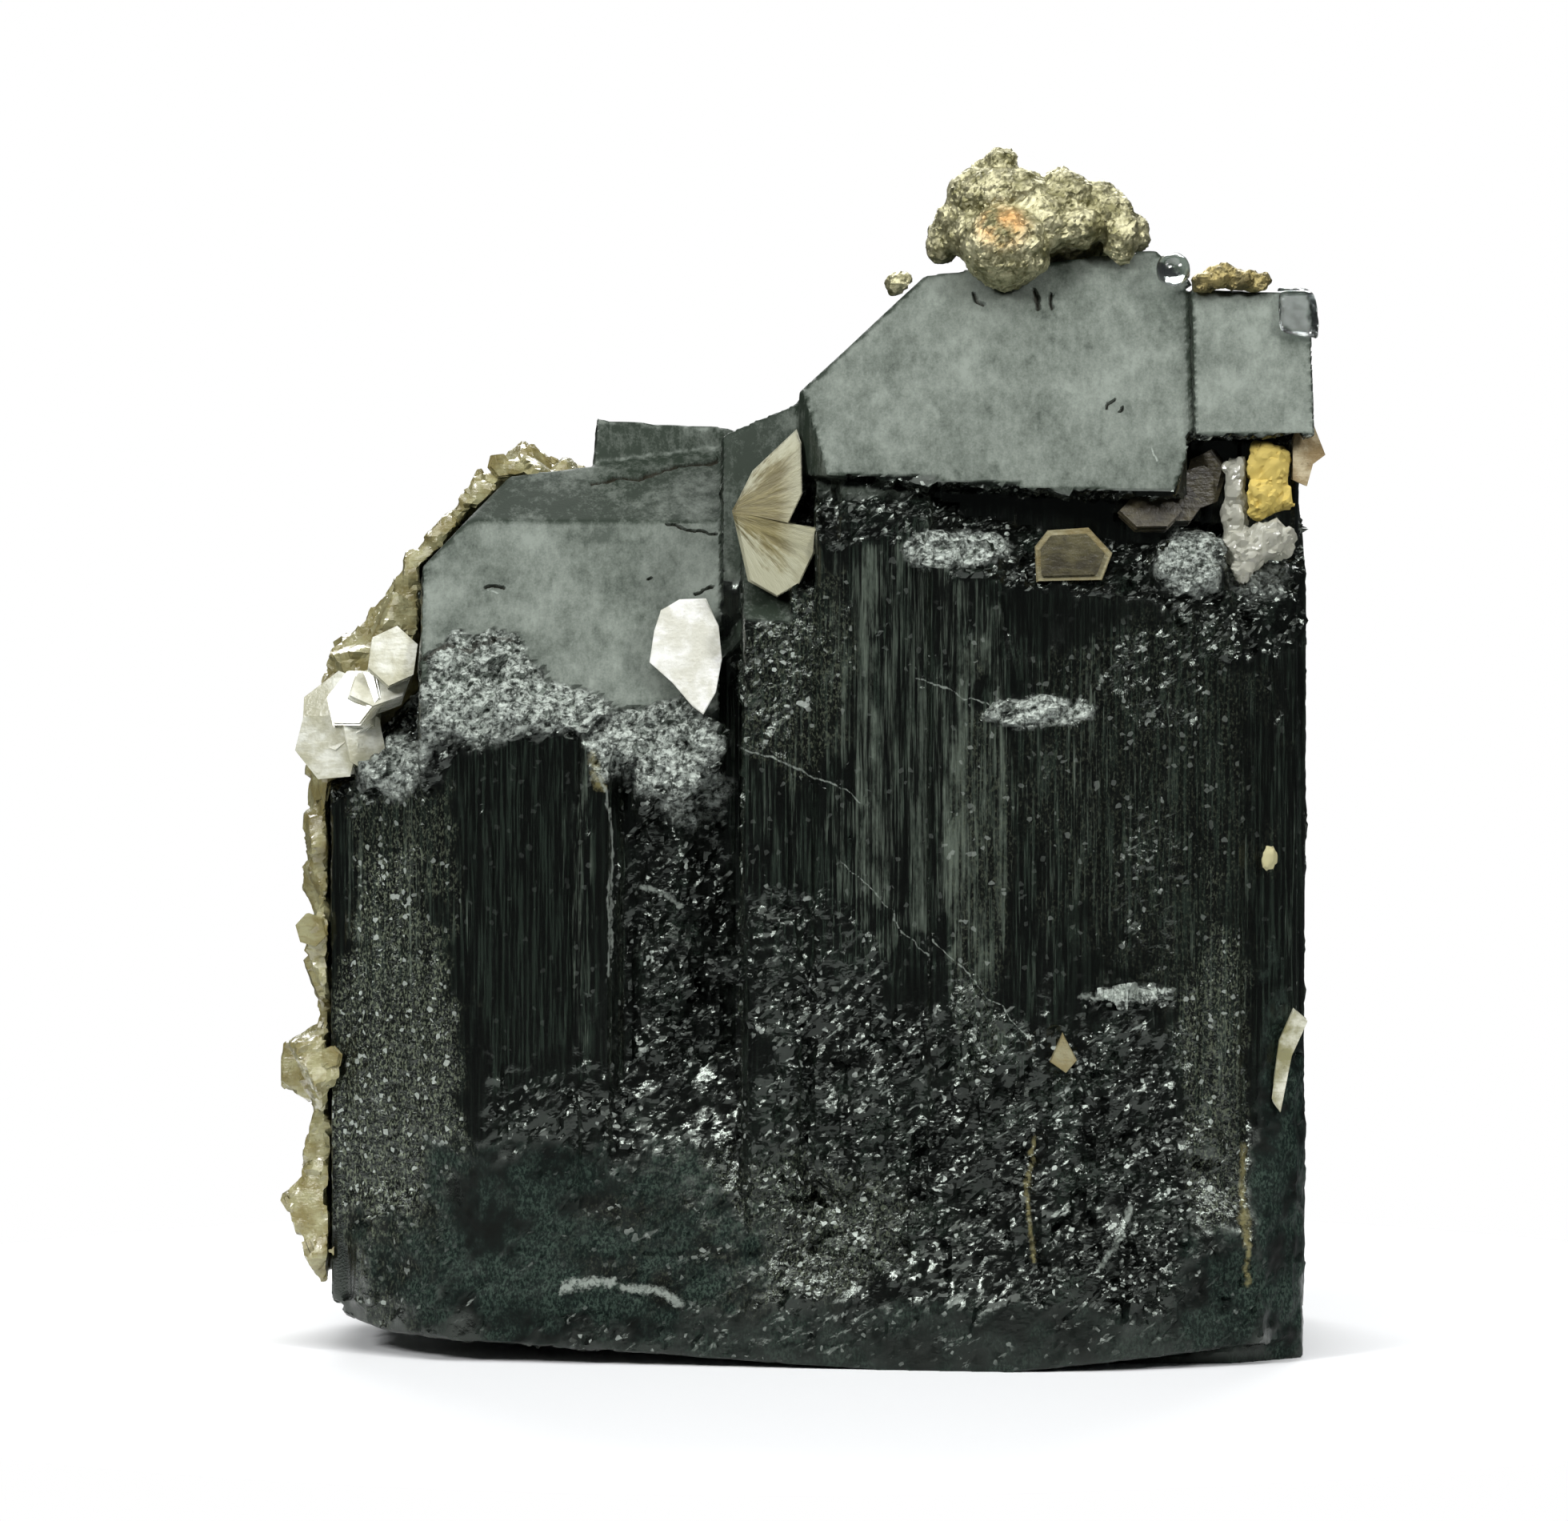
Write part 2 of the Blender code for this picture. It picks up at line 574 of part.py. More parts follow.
def left_crust(grow):
    """Mica books that overlap like scales down the left side, three rows deep."""
    dice = random.Random(21)
    backing = crystal(
        "crust_backing",
        [(-30.1, -5.4), (-27.6, -6.6), (-27.6, 8.4), (-28.8, 7.6), (-30.1, 5.0)],
        4.6,
        37.6,
        (),
        grow,
    )
    upper = crystal(
        "crust_upper",
        [(-30.4, -6.6), (-27.2, -6.6), (-20.6, -2.6), (-12.6, 0.8), (-12.6, 4.4), (-30.4, 5.4)],
        35.0,
        56.2,
        [
            ((-30.3, 0.0, 36.5), (-29.8, 0.0, 41.8), (-30.3, 4.0, 36.5)),
            ((-29.8, 0.0, 41.8), (-22.5, 0.0, 52.0), (-29.8, 4.0, 41.6)),
            ((-23.4, 0.0, 50.7), (-18.0, 0.0, 56.5), (-23.4, 4.0, 50.6)),
            ((-18.0, 0.0, 55.7), (-13.0, 0.0, 55.0), (-18.0, 4.0, 54.6)),
            ((-30.0, 4.4, 38.0), (-18.0, 3.2, 56.0), (-29.6, 7.0, 37.0)),
        ],
        grow,
    )
    shapes = [backing, upper]
    for row, depth in enumerate((-6.0, -1.0, 4.2)):
        for x, z, radius in CRUST_BOOKS:
            if row == 2 and z > 44:
                continue
            set_back = max(0.0, (z - 44.0) * 0.42 + max(0.0, x + 19.0) * 0.8)
            facing = (-1.0, dice.uniform(-0.45, 0.35), dice.uniform(-0.5, 0.5) + 0.09 * max(0.0, z - 44.0))
            y = depth + set_back + dice.uniform(-0.8, 0.8)
            centre = (x + 0.35 * row - 0.2, y, z + dice.uniform(-0.5, 0.5) * row)
            thickness = dice.uniform(1.8, 2.9)
            spin = dice.uniform(0, 60)
            shapes.append(plate("crust_book", centre, radius * 0.95, thickness, facing, spin, 1.0, grow))
    spike = plate("crust_spike", (-30.6, -4.0, 17.6), 2.45, 1.5, (-0.2, -1.0, 0.1), 0.0, 1.0, grow)
    tongue = plate("crust_tongue", (-29.6, -7.2, 9.2), 2.6, 1.2, (-0.3, -1.0, 0.1), 20.0, 1.15, grow)
    return shapes + [spike, tongue]


def left_rosette(grow):
    """Pearly mica blades that fan out over the left shoulder."""
    blades = [
        ((-25.3, -10.3, 43.8), 1.75, 1.0, (0.15, -1.0, 0.35), 80.0, 1.2),
        ((-27.6, -9.9, 41.2), 1.8, 1.0, (-0.35, -1.0, 0.3), 55.0, 1.25),
        ((-29.3, -9.2, 38.2), 2.1, 1.1, (-0.3, -1.0, -0.05), 130.0, 1.15),
        ((-27.3, -9.4, 38.6), 1.5, 1.4, (0.45, -1.0, 0.1), 100.0, 1.6),
        ((-26.2, -9.6, 41.8), 1.5, 1.6, (0.2, -1.0, 0.5), 20.0, 1.5),
        ((-28.5, -8.4, 40.2), 2.6, 1.6, (-0.5, -1.0, 0.4), 40.0, 1.1),
    ]
    return [plate("blade", *blade, grow=grow) for blade in blades]


def white_crystal(grow):
    """The silvery mica crystal on the left tip's lower right corner."""
    outline = [
        (-9.2, 43.7),
        (-8.9, 45.7),
        (-8.5, 47.0),
        (-7.3, 47.7),
        (-5.6, 47.7),
        (-4.75, 46.0),
        (-4.55, 43.9),
        (-4.95, 41.8),
        (-5.75, 40.45),
        (-6.45, 40.95),
        (-7.7, 42.4),
    ]
    return [leaf("white_book", outline, -15.2, 1.7, 0.32, grow)]


def leaf(name, outline, front, thickness, lean, grow):
    """A flat crystal whose outline (x, z) faces the front and leans back as it climbs."""
    low = min(z for x, z in outline)
    centre = Vector((sum(x for x, z in outline), sum(z for x, z in outline))) / len(outline)
    flat = bpy.data.curves.new(name, "CURVE")
    flat.dimensions = "2D"
    flat.fill_mode = "BOTH"
    flat.extrude = thickness / 2 + grow
    rim = flat.splines.new("POLY")
    rim.points.add(len(outline) - 1)
    for point, corner in zip(rim.points, outline):
        place = Vector(corner)
        place += (place - centre).normalized() * grow
        point.co = (place.x, place.y, 0.0, 1.0)
    rim.use_cyclic_u = True
    sheet = bpy.data.objects.new(name, flat)
    SHAPES.objects.link(sheet)
    solid = applied(name + "_solid", sheet)
    bpy.data.objects.remove(sheet, do_unlink=True)
    mesh = bmesh.new()
    mesh.from_mesh(solid.data)
    bpy.data.objects.remove(solid, do_unlink=True)
    bmesh.ops.remove_doubles(mesh, verts=mesh.verts, dist=1e-5)
    shift = front - lean * low + thickness / 2
    upright = Matrix(((1, 0, 0, 0), (0, lean, -1, shift), (0, 1, 0, 0), (0, 0, 0, 1)))
    bmesh.ops.transform(mesh, matrix=upright, verts=mesh.verts)
    return shape_object(name, mesh)


def centre_books(grow):
    """Two fans of tan mica that meet at a point between the left and main tips."""
    upper = [(-4.0, 53.0), (-2.75, 55.5), (0.05, 58.1), (0.35, 57.4), (0.4, 54.2), (-0.5, 52.3)]
    lower = [(-4.0, 53.2), (-0.5, 52.4), (1.3, 52.1), (1.2, 50.6), (0.2, 48.6), (-1.2, 47.8), (-3.0, 48.8)]
    return [
        leaf("upper_fan", upper, -14.6, 4.6, 0.42, grow),
        leaf("lower_fan", lower, -16.0, 6.0, 0.16, grow),
        plate("inner_fan", (-1.4, -14.2, 51.6), 1.9, 1.6, (0.5, -1.0, 0.2), 15.0, 1.1, grow),
    ]


def dark_plate(grow):
    """The smoky six-sided mica plate on the ledge."""
    outline = [(14.85, 48.8), (14.75, 51.0), (15.55, 52.05), (18.15, 52.2), (19.65, 50.6), (19.0, 48.9)]
    return [leaf("smoky_leaf", outline, -16.9, 1.0, 0.2, grow)]


def right_books(grow):
    """Mica at the right edge and in the pocket under the right tip."""
    edge_point = [
        (30.9, 57.3),
        (31.5, 60.2),
        (32.3, 58.4),
        (HALF_WIDTH, 56.6),
        (32.2, 56.0),
        (31.8, 54.6),
        (30.9, 55.0),
    ]
    return [
        leaf("edge_point", edge_point, -13.4, 2.2, 0.1, grow),
        plate("edge_book", (31.4, -12.0, 54.0), 1.15, 1.4, (0.8, -0.7, 0.2), 10.0, 1.3, grow),
        plate("low_edge_book", (31.3, -11.6, 52.2), 1.1, 1.6, (0.9, -0.5, 0.0), 30.0, 1.2, grow),
    ]


def brown_book(grow):
    """Brown mica that stands in the pocket between the main and right tips."""
    return [
        plate("brown_left", (24.7, -12.6, 54.4), 1.5, 1.5, (0.3, -1.0, 0.1), 20.0, 1.5, grow),
        plate("brown_right", (25.6, -12.0, 55.2), 1.3, 1.3, (-0.4, -1.0, 0.0), 75.0, 1.4, grow),
        plate("ledge_mica", (22.0, -14.4, 53.0), 1.3, 1.2, (0.1, -1.0, 0.4), 0.0, 1.6, grow),
        plate("bridge_mica", (23.6, -13.6, 53.4), 1.3, 1.6, (0.1, -1.0, 0.3), 0.0, 1.3, grow),
    ]


def ochre_mass(grow):
    """The yellow, crumbly mass under the right tip."""
    return [
        lump("ochre_top", (29.3, -13.0, 55.8), 1.75, 31, (0.95, 0.75, 1.0), 0.1, 2, grow),
        lump("ochre_low", (28.9, -13.4, 53.9), 1.5, 32, (1.0, 0.8, 1.0), 0.12, 2, grow),
        lump("ochre_right", (30.6, -13.0, 54.0), 1.0, 33, (1.0, 0.9, 1.0), 0.12, 2, grow),
    ]


def grey_quartz(grow):
    """Grey quartz: an upright column beside the ochre and a lump under it."""
    column = crystal(
        "quartz_column",
        [(26.8, -14.0), (27.8, -14.0), (28.1, -13.0), (27.6, -12.2), (26.9, -12.2), (26.5, -13.0)],
        49.8,
        56.4,
        [((26.4, -14.0, 55.6), (28.2, -14.0, 56.2), (27.0, -12.2, 56.4))],
        grow,
    )
    return [
        column,
        lump("quartz_lump", (29.5, -14.2, 51.3), 1.5, 41, (1.15, 0.8, 0.85), 0.1, 2, grow),
        lump("quartz_low", (28.0, -14.8, 50.3), 1.2, 42, (1.1, 0.8, 0.85), 0.1, 2, grow),
        plate("quartz_sliver", (27.4, -15.0, 50.4), 1.1, 0.8, (-0.3, -1.0, 0.0), 90.0, 1.7, grow),
    ]


def right_tip_quartz(grow):
    """The clear quartz that wraps the right tip's top corner."""
    return [
        crystal(
            "corner_quartz",
            [(29.9, -11.5), (30.4, -12.2), (32.0, -12.2), (32.7, -11.4), (32.7, -7.4), (29.9, -7.4)],
            63.5,
            67.0,
            [
                ((29.7, -12.0, 63.6), (32.7, -12.0, 63.6), (29.7, -9.7, 67.0)),
                ((32.4, -12.0, 66.9), (32.9, -12.0, 65.7), (32.4, -8.0, 66.9)),
                ((29.7, -12.6, 64.4), (32.7, -12.6, 63.7), (29.7, -8.0, 63.6)),
            ],
            grow,
        )
    ]


def quartz_bead(grow):
    return [lump("bead", (23.6, -9.2, 68.1), 1.15, 51, (1.0, 1.0, 0.95), 0.03, 3, grow)]


def brassy_crust(grow):
    """Olive and brass-coloured crust along the top of the right tip."""
    knots = [
        (25.6, -9.4, 67.3, 0.9),
        (26.7, -9.2, 67.7, 1.0),
        (28.0, -9.2, 67.4, 0.95),
        (29.1, -9.1, 67.2, 0.75),
    ]
    return [
        lump("crust_knot", (x, y, z), radius, 60 + number, (1.1, 1.1, 0.85), 0.12, 2, grow)
        for number, (x, y, z, radius) in enumerate(knots)
    ]


# Pyrite knobs: centre x, y, z, radius and squash along x, y, z
PYRITE_KNOBS = [
    ((13.1, -8.6, 69.5), 2.9, (1.02, 0.95, 0.95)),
    ((11.35, -6.6, 72.5), 2.05, (1.0, 1.0, 1.0)),
    ((12.85, -6.0, 74.68), 1.2, (1.0, 1.0, 1.0)),
    ((11.9, -5.7, 74.1), 1.0, (1.0, 1.0, 1.0)),
    ((14.1, -6.9, 72.3), 2.2, (1.0, 1.0, 1.0)),
    ((16.7, -6.3, 72.2), 2.25, (1.05, 1.0, 1.0)),
    ((18.75, -5.8, 71.8), 2.0, (1.0, 1.0, 1.0)),
    ((17.35, -7.5, 70.8), 1.75, (1.15, 1.0, 0.85)),
    ((20.4, -7.2, 70.2), 1.5, (0.8, 0.85, 1.25)),
    ((21.2, -5.6, 70.3), 1.25, (0.95, 1.0, 1.1)),
    ((9.2, -5.9, 69.8), 1.5, (0.7, 1.0, 1.05)),
    ((10.4, -6.3, 71.0), 1.65, (1.0, 1.0, 1.0)),
    ((11.2, -7.5, 70.3), 1.85, (1.0, 1.0, 1.0)),
    ((12.7, -7.3, 72.7), 1.9, (1.0, 1.0, 1.0)),
    ((15.5, -7.6, 71.0), 1.95, (1.0, 1.0, 1.0)),
    ((19.7, -6.4, 71.5), 1.6, (1.0, 1.0, 1.0)),
    ((15.0, -4.0, 70.0), 3.1, (1.9, 0.85, 0.75)),
]


def pyrite_cluster(grow):
    """The brassy, grape-like pyrite that sits on the main tip's crest."""
    return [
        lump("knob", centre, radius, 70 + number, squash, 0.07, 2, grow)
        for number, (centre, radius, squash) in enumerate(PYRITE_KNOBS)
    ]


def pyrite_grain(grow):
    return [lump("grain", (6.5, -7.4, 67.1), 0.95, 91, (1.0, 1.0, 1.0), 0.08, 2, grow)]


def mica_wedge(grow):
    """A tan wedge of mica in the lower front."""
    outline = [(15.7, 19.2), (16.5, 21.0), (17.4, 19.3), (16.7, 18.5)]
    return [leaf("wedge", outline, -19.2, 2.6, 0.1, grow)]


def mica_sliver(grow):
    """Bright mica that crops out at the right side of the wall."""
    blade = [(29.6, 16.4), (30.1, 20.2), (31.0, 22.2), (31.9, 21.4), (30.9, 19.2), (30.2, 15.6)]
    return [
        leaf("sliver_blade", blade, -14.9, 2.6, 0.0, grow),
        plate("sliver_top", (31.3, -13.2, 24.0), 1.5, 1.6, (0.7, -1.0, 0.0), 90.0, 1.3, grow),
        plate("sliver_mid", (31.2, -13.2, 22.0), 1.1, 1.8, (0.4, -1.0, 0.0), 90.0, 1.2, grow),
    ]


def siderite_bleb(grow):
    """A pale yellow-green bleb on the right part of the wall."""
    return [lump("bleb", (29.3, -14.7, 31.6), 0.95, 95, (0.85, 0.9, 1.15), 0.08, 2, grow)]


# Name, shapes, colour, roughness, metallic
PIECES = [
    ("ferberite", ferberite, (0.022, 0.026, 0.024), 0.32, 0.6),
    ("muscovite_left_crust", left_crust, (0.42, 0.36, 0.20), 0.35, 0.1),
    ("muscovite_left_rosette", left_rosette, (0.68, 0.67, 0.58), 0.25, 0.1),
    ("muscovite_white_crystal", white_crystal, (0.80, 0.80, 0.74), 0.25, 0.1),
    ("muscovite_centre_books", centre_books, (0.52, 0.44, 0.27), 0.3, 0.1),
    ("muscovite_dark_plate", dark_plate, (0.12, 0.10, 0.06), 0.2, 0.0),
    ("muscovite_brown_book", brown_book, (0.24, 0.19, 0.11), 0.25, 0.0),
    ("muscovite_right_books", right_books, (0.55, 0.48, 0.33), 0.3, 0.1),
    ("grey_quartz", grey_quartz, (0.42, 0.42, 0.41), 0.25, 0.0),
    ("yellow_ochre_mass", ochre_mass, (0.62, 0.48, 0.12), 0.7, 0.0),
    ("clear_quartz_corner", right_tip_quartz, (0.55, 0.58, 0.57), 0.08, 0.0),
    ("clear_quartz_bead", quartz_bead, (0.60, 0.60, 0.60), 0.05, 0.0),
    ("brassy_crust", brassy_crust, (0.30, 0.25, 0.10), 0.4, 0.7),
    ("pyrite_cluster", pyrite_cluster, (0.50, 0.43, 0.20), 0.3, 1.0),
    ("pyrite_grain", pyrite_grain, (0.50, 0.43, 0.20), 0.3, 1.0),
    ("muscovite_low_wedge", mica_wedge, (0.45, 0.40, 0.26), 0.3, 0.1),
    ("muscovite_right_sliver", mica_sliver, (0.66, 0.63, 0.52), 0.25, 0.1),
    ("siderite_bleb", siderite_bleb, (0.50, 0.47, 0.26), 0.4, 0.0),
]


def reach(obj):
    """Lowest and highest corner of an object's mesh."""
    corners = [corner.co for corner in obj.data.vertices]
    low = Vector(min(corner[axis] for corner in corners) for axis in range(3))
    high = Vector(max(corner[axis] for corner in corners) for axis in range(3))
    return low, high


def near(one, other):
    low, high = reach(one)
    other_low, other_high = reach(other)
    return all(low[axis] < other_high[axis] and other_low[axis] < high[axis] for axis in range(3))


def main():
    rooms = []
    for name, shapes, colour, roughness, metallic in PIECES:
        solid = fused(name + "_whole", shapes(0.0))
        for room in rooms:
            if near(solid, room):
                fit = solid.modifiers.new("fit", "BOOLEAN")
                fit.operation = "DIFFERENCE"
                fit.solver = "MANIFOLD"
                fit.object = room
        piece = applied(name, solid)
        bpy.data.objects.remove(solid, do_unlink=True)
        largest_body(piece)
        piece.data.materials.clear()
        piece.data.materials.append(surface_finish(name, colour, roughness, metallic))
        SHAPES.objects.unlink(piece)
        SPECIMEN.objects.link(piece)
        room = fused(name + "_room", shapes(GAP))
        room.hide_render = True
        room.display_type = "WIRE"
        rooms.append(room)


clear_scene()
SPECIMEN = new_collection("ferberite_specimen")
SHAPES = new_collection("rooms_for_the_pieces")
main()
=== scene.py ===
"""Looks of the ferberite specimen: striated black crystals, mica, pyrite and quartz.

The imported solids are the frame. Each mineral gets a finely divided mesh of the same form,
which carries its relief, and a procedural finish. Lengths are in millimetres until a mesh
is made. +X is to the right and +Y to the back, seen from the front.
"""

import logging
import math
from dataclasses import dataclass
from dataclasses import field
from enum import Enum
from typing import Callable
from typing import Sequence

import bpy
import numpy as np
from mathutils import Matrix
from mathutils import Vector
from mathutils.bvhtree import BVHTree


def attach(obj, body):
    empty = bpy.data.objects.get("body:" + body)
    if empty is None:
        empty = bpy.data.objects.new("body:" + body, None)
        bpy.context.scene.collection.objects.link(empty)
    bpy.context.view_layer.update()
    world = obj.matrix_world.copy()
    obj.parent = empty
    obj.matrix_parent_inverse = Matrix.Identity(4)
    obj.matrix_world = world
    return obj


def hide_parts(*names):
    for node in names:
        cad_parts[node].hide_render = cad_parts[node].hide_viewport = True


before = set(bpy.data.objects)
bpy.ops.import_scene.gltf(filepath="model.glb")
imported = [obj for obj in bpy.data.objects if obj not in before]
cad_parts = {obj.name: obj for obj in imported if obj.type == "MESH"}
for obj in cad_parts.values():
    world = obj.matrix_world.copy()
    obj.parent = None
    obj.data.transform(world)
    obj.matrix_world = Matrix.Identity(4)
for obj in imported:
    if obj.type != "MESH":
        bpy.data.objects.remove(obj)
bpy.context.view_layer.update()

log = logging.getLogger("specimen")

MM = 0.001
BODY = "root"
MICA_INDEX = 1.58
QUARTZ_INDEX = 1.544
CRISP = 20.0
BLUNT = 24.0
GLASSY = 60.0


class Zone(Enum):
    """Named surface qualities of the ferberite, each kept as a value per vertex."""

    TIP = "tip"
    LINES = "lines"
    ROUGH = "rough"
    GRAINY = "grainy"
    SILVER = "silver"
    SMOOTH = "smooth"
    # painted light and shade on the tip facets: paler where they face the light, toward the top and on the
    # right tip
    SHADE = "shade"
    CRACK = "crack"
    PALE = "pale"
    STAIN = "stain"


class Lattice:
    """Seeded noise in three dimensions, worked out for many points at once."""

    SIZE = 4096
    PRIMES = np.array([73856093, 19349663, 83492791])
    LAYER_SHIFT = 17.3
    GRAIN_TILT = 1.6
    GRAIN_LIFT = 0.35

    def __init__(self, seed: int) -> None:
        """Fills the table of random numbers.

        Args:
            seed: the number that fixes this noise.
        """
        dice = np.random.default_rng(seed)
        self.levels = dice.uniform(-1.0, 1.0, self.SIZE)
        self.spots = dice.uniform(0.0, 1.0, (self.SIZE, 3))

    def _slot(self, cell: np.ndarray) -> np.ndarray:
        """Looks up the table entry of each whole-numbered cell."""
        mixed = np.bitwise_xor.reduce(cell * self.PRIMES, axis=-1)
        return (mixed ^ (mixed >> 13)) % self.SIZE

    def smooth(self, places: np.ndarray) -> np.ndarray:
        """Smooth noise with one bump per unit.

        Args:
            places: points, one row each.

        Returns:
            One value between -1 and 1 for each point.
        """
        floor = np.floor(places).astype(np.int64)
        part = places - floor
        ease = part * part * (3.0 - 2.0 * part)
        total = np.zeros(len(places))
        for corner in range(8):
            step = np.array([corner & 1, corner >> 1 & 1, corner >> 2 & 1])
            weight = np.prod(np.where(step == 1, ease, 1.0 - ease), axis=1)
            total += weight * self.levels[self._slot(floor + step)]
        return total

    def layered(self, places: np.ndarray, octaves: int = 3, gain: float = 0.5) -> np.ndarray:
        """Several layers of smooth noise, each one finer and weaker.

        Args:
            places: points, one row each.
            octaves: how many layers.
            gain: strength of a layer against the one before.

        Returns:
            One value, mostly between -1 and 1, for each point.
        """
        total = np.zeros(len(places))
        strength = 1.0
        for octave in range(octaves):
            total += strength * self.smooth(places * 2.0**octave + self.LAYER_SHIFT * octave)
            strength *= gain
        return total

    def cells(self, places: np.ndarray) -> tuple[np.ndarray, np.ndarray]:
        """Cellular noise with about one cell per unit.

        Args:
            places: points, one row each.

        Returns:
            The way from the nearest cell's centre, and a random triple for that cell.
        """
        floor = np.floor(places).astype(np.int64)
        near = np.full(len(places), 9.0)
        offset = np.zeros_like(places)
        owner = np.zeros(len(places), np.int64)
        for step in np.ndindex(3, 3, 3):
            cell = floor + np.array(step) - 1
            slot = self._slot(cell)
            away = places - cell - self.spots[slot]
            gap = np.einsum("ij,ij->i", away, away)
            closer = gap < near
            near[closer] = gap[closer]
            offset[closer] = away[closer]
            owner[closer] = slot[closer]
        return offset, self.spots[(owner * 7 + 3) % self.SIZE]

    def grains(self, places: np.ndarray) -> np.ndarray:
        """Height of a surface broken into flat grains, each tilted its own way.

        Args:
            places: points, one row each, with about one grain per unit.

        Returns:
            One height between about -0.6 and 0.6 for each point.
        """
        offset, tone = self.cells(places)
        tilt = np.einsum("ij,ij->i", offset, tone - 0.5)
        return self.GRAIN_TILT * tilt + self.GRAIN_LIFT * (tone[:, 0] - 0.5)


@dataclass
class Hull:
    """A triangle mesh in millimetres, as arrays."""

    PULL = 0.6

    points: np.ndarray
    faces: np.ndarray

    @classmethod
    def of_mesh(cls, mesh: bpy.types.Mesh) -> "Hull":
        """Reads a mesh as triangles, in the mesh's own unit."""
        mesh.calc_loop_triangles()
        points = np.empty(len(mesh.vertices) * 3)
        mesh.vertices.foreach_get("co", points)
        faces = np.empty(len(mesh.loop_triangles) * 3, np.int32)
        mesh.loop_triangles.foreach_get("vertices", faces)
        return cls(points.reshape(-1, 3), faces.reshape(-1, 3))

    @classmethod
    def of_node(cls, name: str) -> "Hull":
        """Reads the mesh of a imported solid.

        Args:
            name: the solid's node.

        Returns:
            Its mesh in millimetres, with one point at each corner.
        """
        hull = cls.of_mesh(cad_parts[name].data)
        keys, member = np.unique(np.round(hull.points / MM, 4), axis=0, return_inverse=True)
        corners = member.reshape(-1)[hull.faces]
        whole = np.all(corners != np.roll(corners, 1, axis=1), axis=1)
        return cls(keys, corners[whole])

    def even(self, step: float) -> "Hull":
        """Meshes the form anew with faces of one size, all points close to the form itself.

        Args:
            step: the size of the faces.

        Returns:
            The even mesh. Its sharp edges are blunt by less than one step.
        """
        mesh = bpy.data.meshes.new("form")
        mesh.from_pydata(self.points.tolist(), [], self.faces.tolist())
        holder = bpy.data.objects.new("form", mesh)
        bpy.context.scene.collection.objects.link(holder)
        remesh = holder.modifiers.new("even", "REMESH")
        remesh.mode = "VOXEL"
        remesh.voxel_size = step
        evaluated = holder.evaluated_get(bpy.context.evaluated_depsgraph_get())
        hull = Hull.of_mesh(evaluated.to_mesh())
        evaluated.to_mesh_clear()
        bpy.data.objects.remove(holder)
        bpy.data.meshes.remove(mesh)
        tree = BVHTree.FromPolygons(self.points.tolist(), self.faces.tolist())
        nearest = np.array([tree.find_nearest(point)[0] for point in hull.points.tolist()])
        return Hull(0.5 * (hull.points + nearest), hull.faces)

    def _edges(self) -> tuple[np.ndarray, np.ndarray]:
        """The mesh's edges.

        Returns:
            The two ends of each edge, and for each side of each triangle its edge's number.
        """
        pairs = np.stack([self.faces, np.roll(self.faces, -1, axis=1)], axis=2)
        pairs = np.sort(pairs.reshape(-1, 2).astype(np.int64), axis=1)
        count = len(self.points)
        codes, member = np.unique(pairs[:, 0] * count + pairs[:, 1], return_inverse=True)
        return np.stack([codes // count, codes % count], axis=1), member.reshape(-1, 3)

    def refine(self, reach: Callable[[np.ndarray], np.ndarray], rounds: int = 12) -> "Hull":
        """Halves the longest side of every triangle in which it is longer than it may be.

        Args:
            reach: gives the longest side allowed at each of many points.
            rounds: the most passes over the mesh.

        Returns:
            The finer mesh. It stays closed, and its flat faces stay flat.
        """
        hull = self
        for _ in range(rounds):
            edges, member = hull._edges()
            ends = hull.points[edges]
            middle = ends.mean(axis=1)
            length = np.linalg.norm(ends[:, 0] - ends[:, 1], axis=1)
            split = np.zeros(len(edges), bool)
            split[member[np.arange(len(member)), length[member].argmax(axis=1)]] = True
            split &= length > reach(middle)
            if not split.any():
                break
            number = np.full(len(edges), -1)
            number[split] = len(hull.points) + np.arange(split.sum())
            points = np.concatenate([hull.points, middle[split]])
            hull = Hull(points, self._divide(hull.faces, number[member], points))
        return hull

    def soften(self, weight: np.ndarray, rounds: int) -> "Hull":
        """Rounds edges and corners a little.

        Args:
            weight: how far each point may move, from 0 to 1.
            rounds: how often each point moves toward its neighbours.

        Returns:
            The softer mesh.
        """
        edges, _ = self._edges()
        points = self.points
        count = np.bincount(edges.ravel(), minlength=len(points))[:, None]
        for _ in range(rounds):
            total = np.zeros_like(points)
            for axis in range(3):
                near = np.concatenate([points[edges[:, 1], axis], points[edges[:, 0], axis]])
                total[:, axis] = np.bincount(edges.T.ravel(), near, len(points))
            points = points + (total / count - points) * self.PULL * weight[:, None]
        return Hull(points, self.faces)

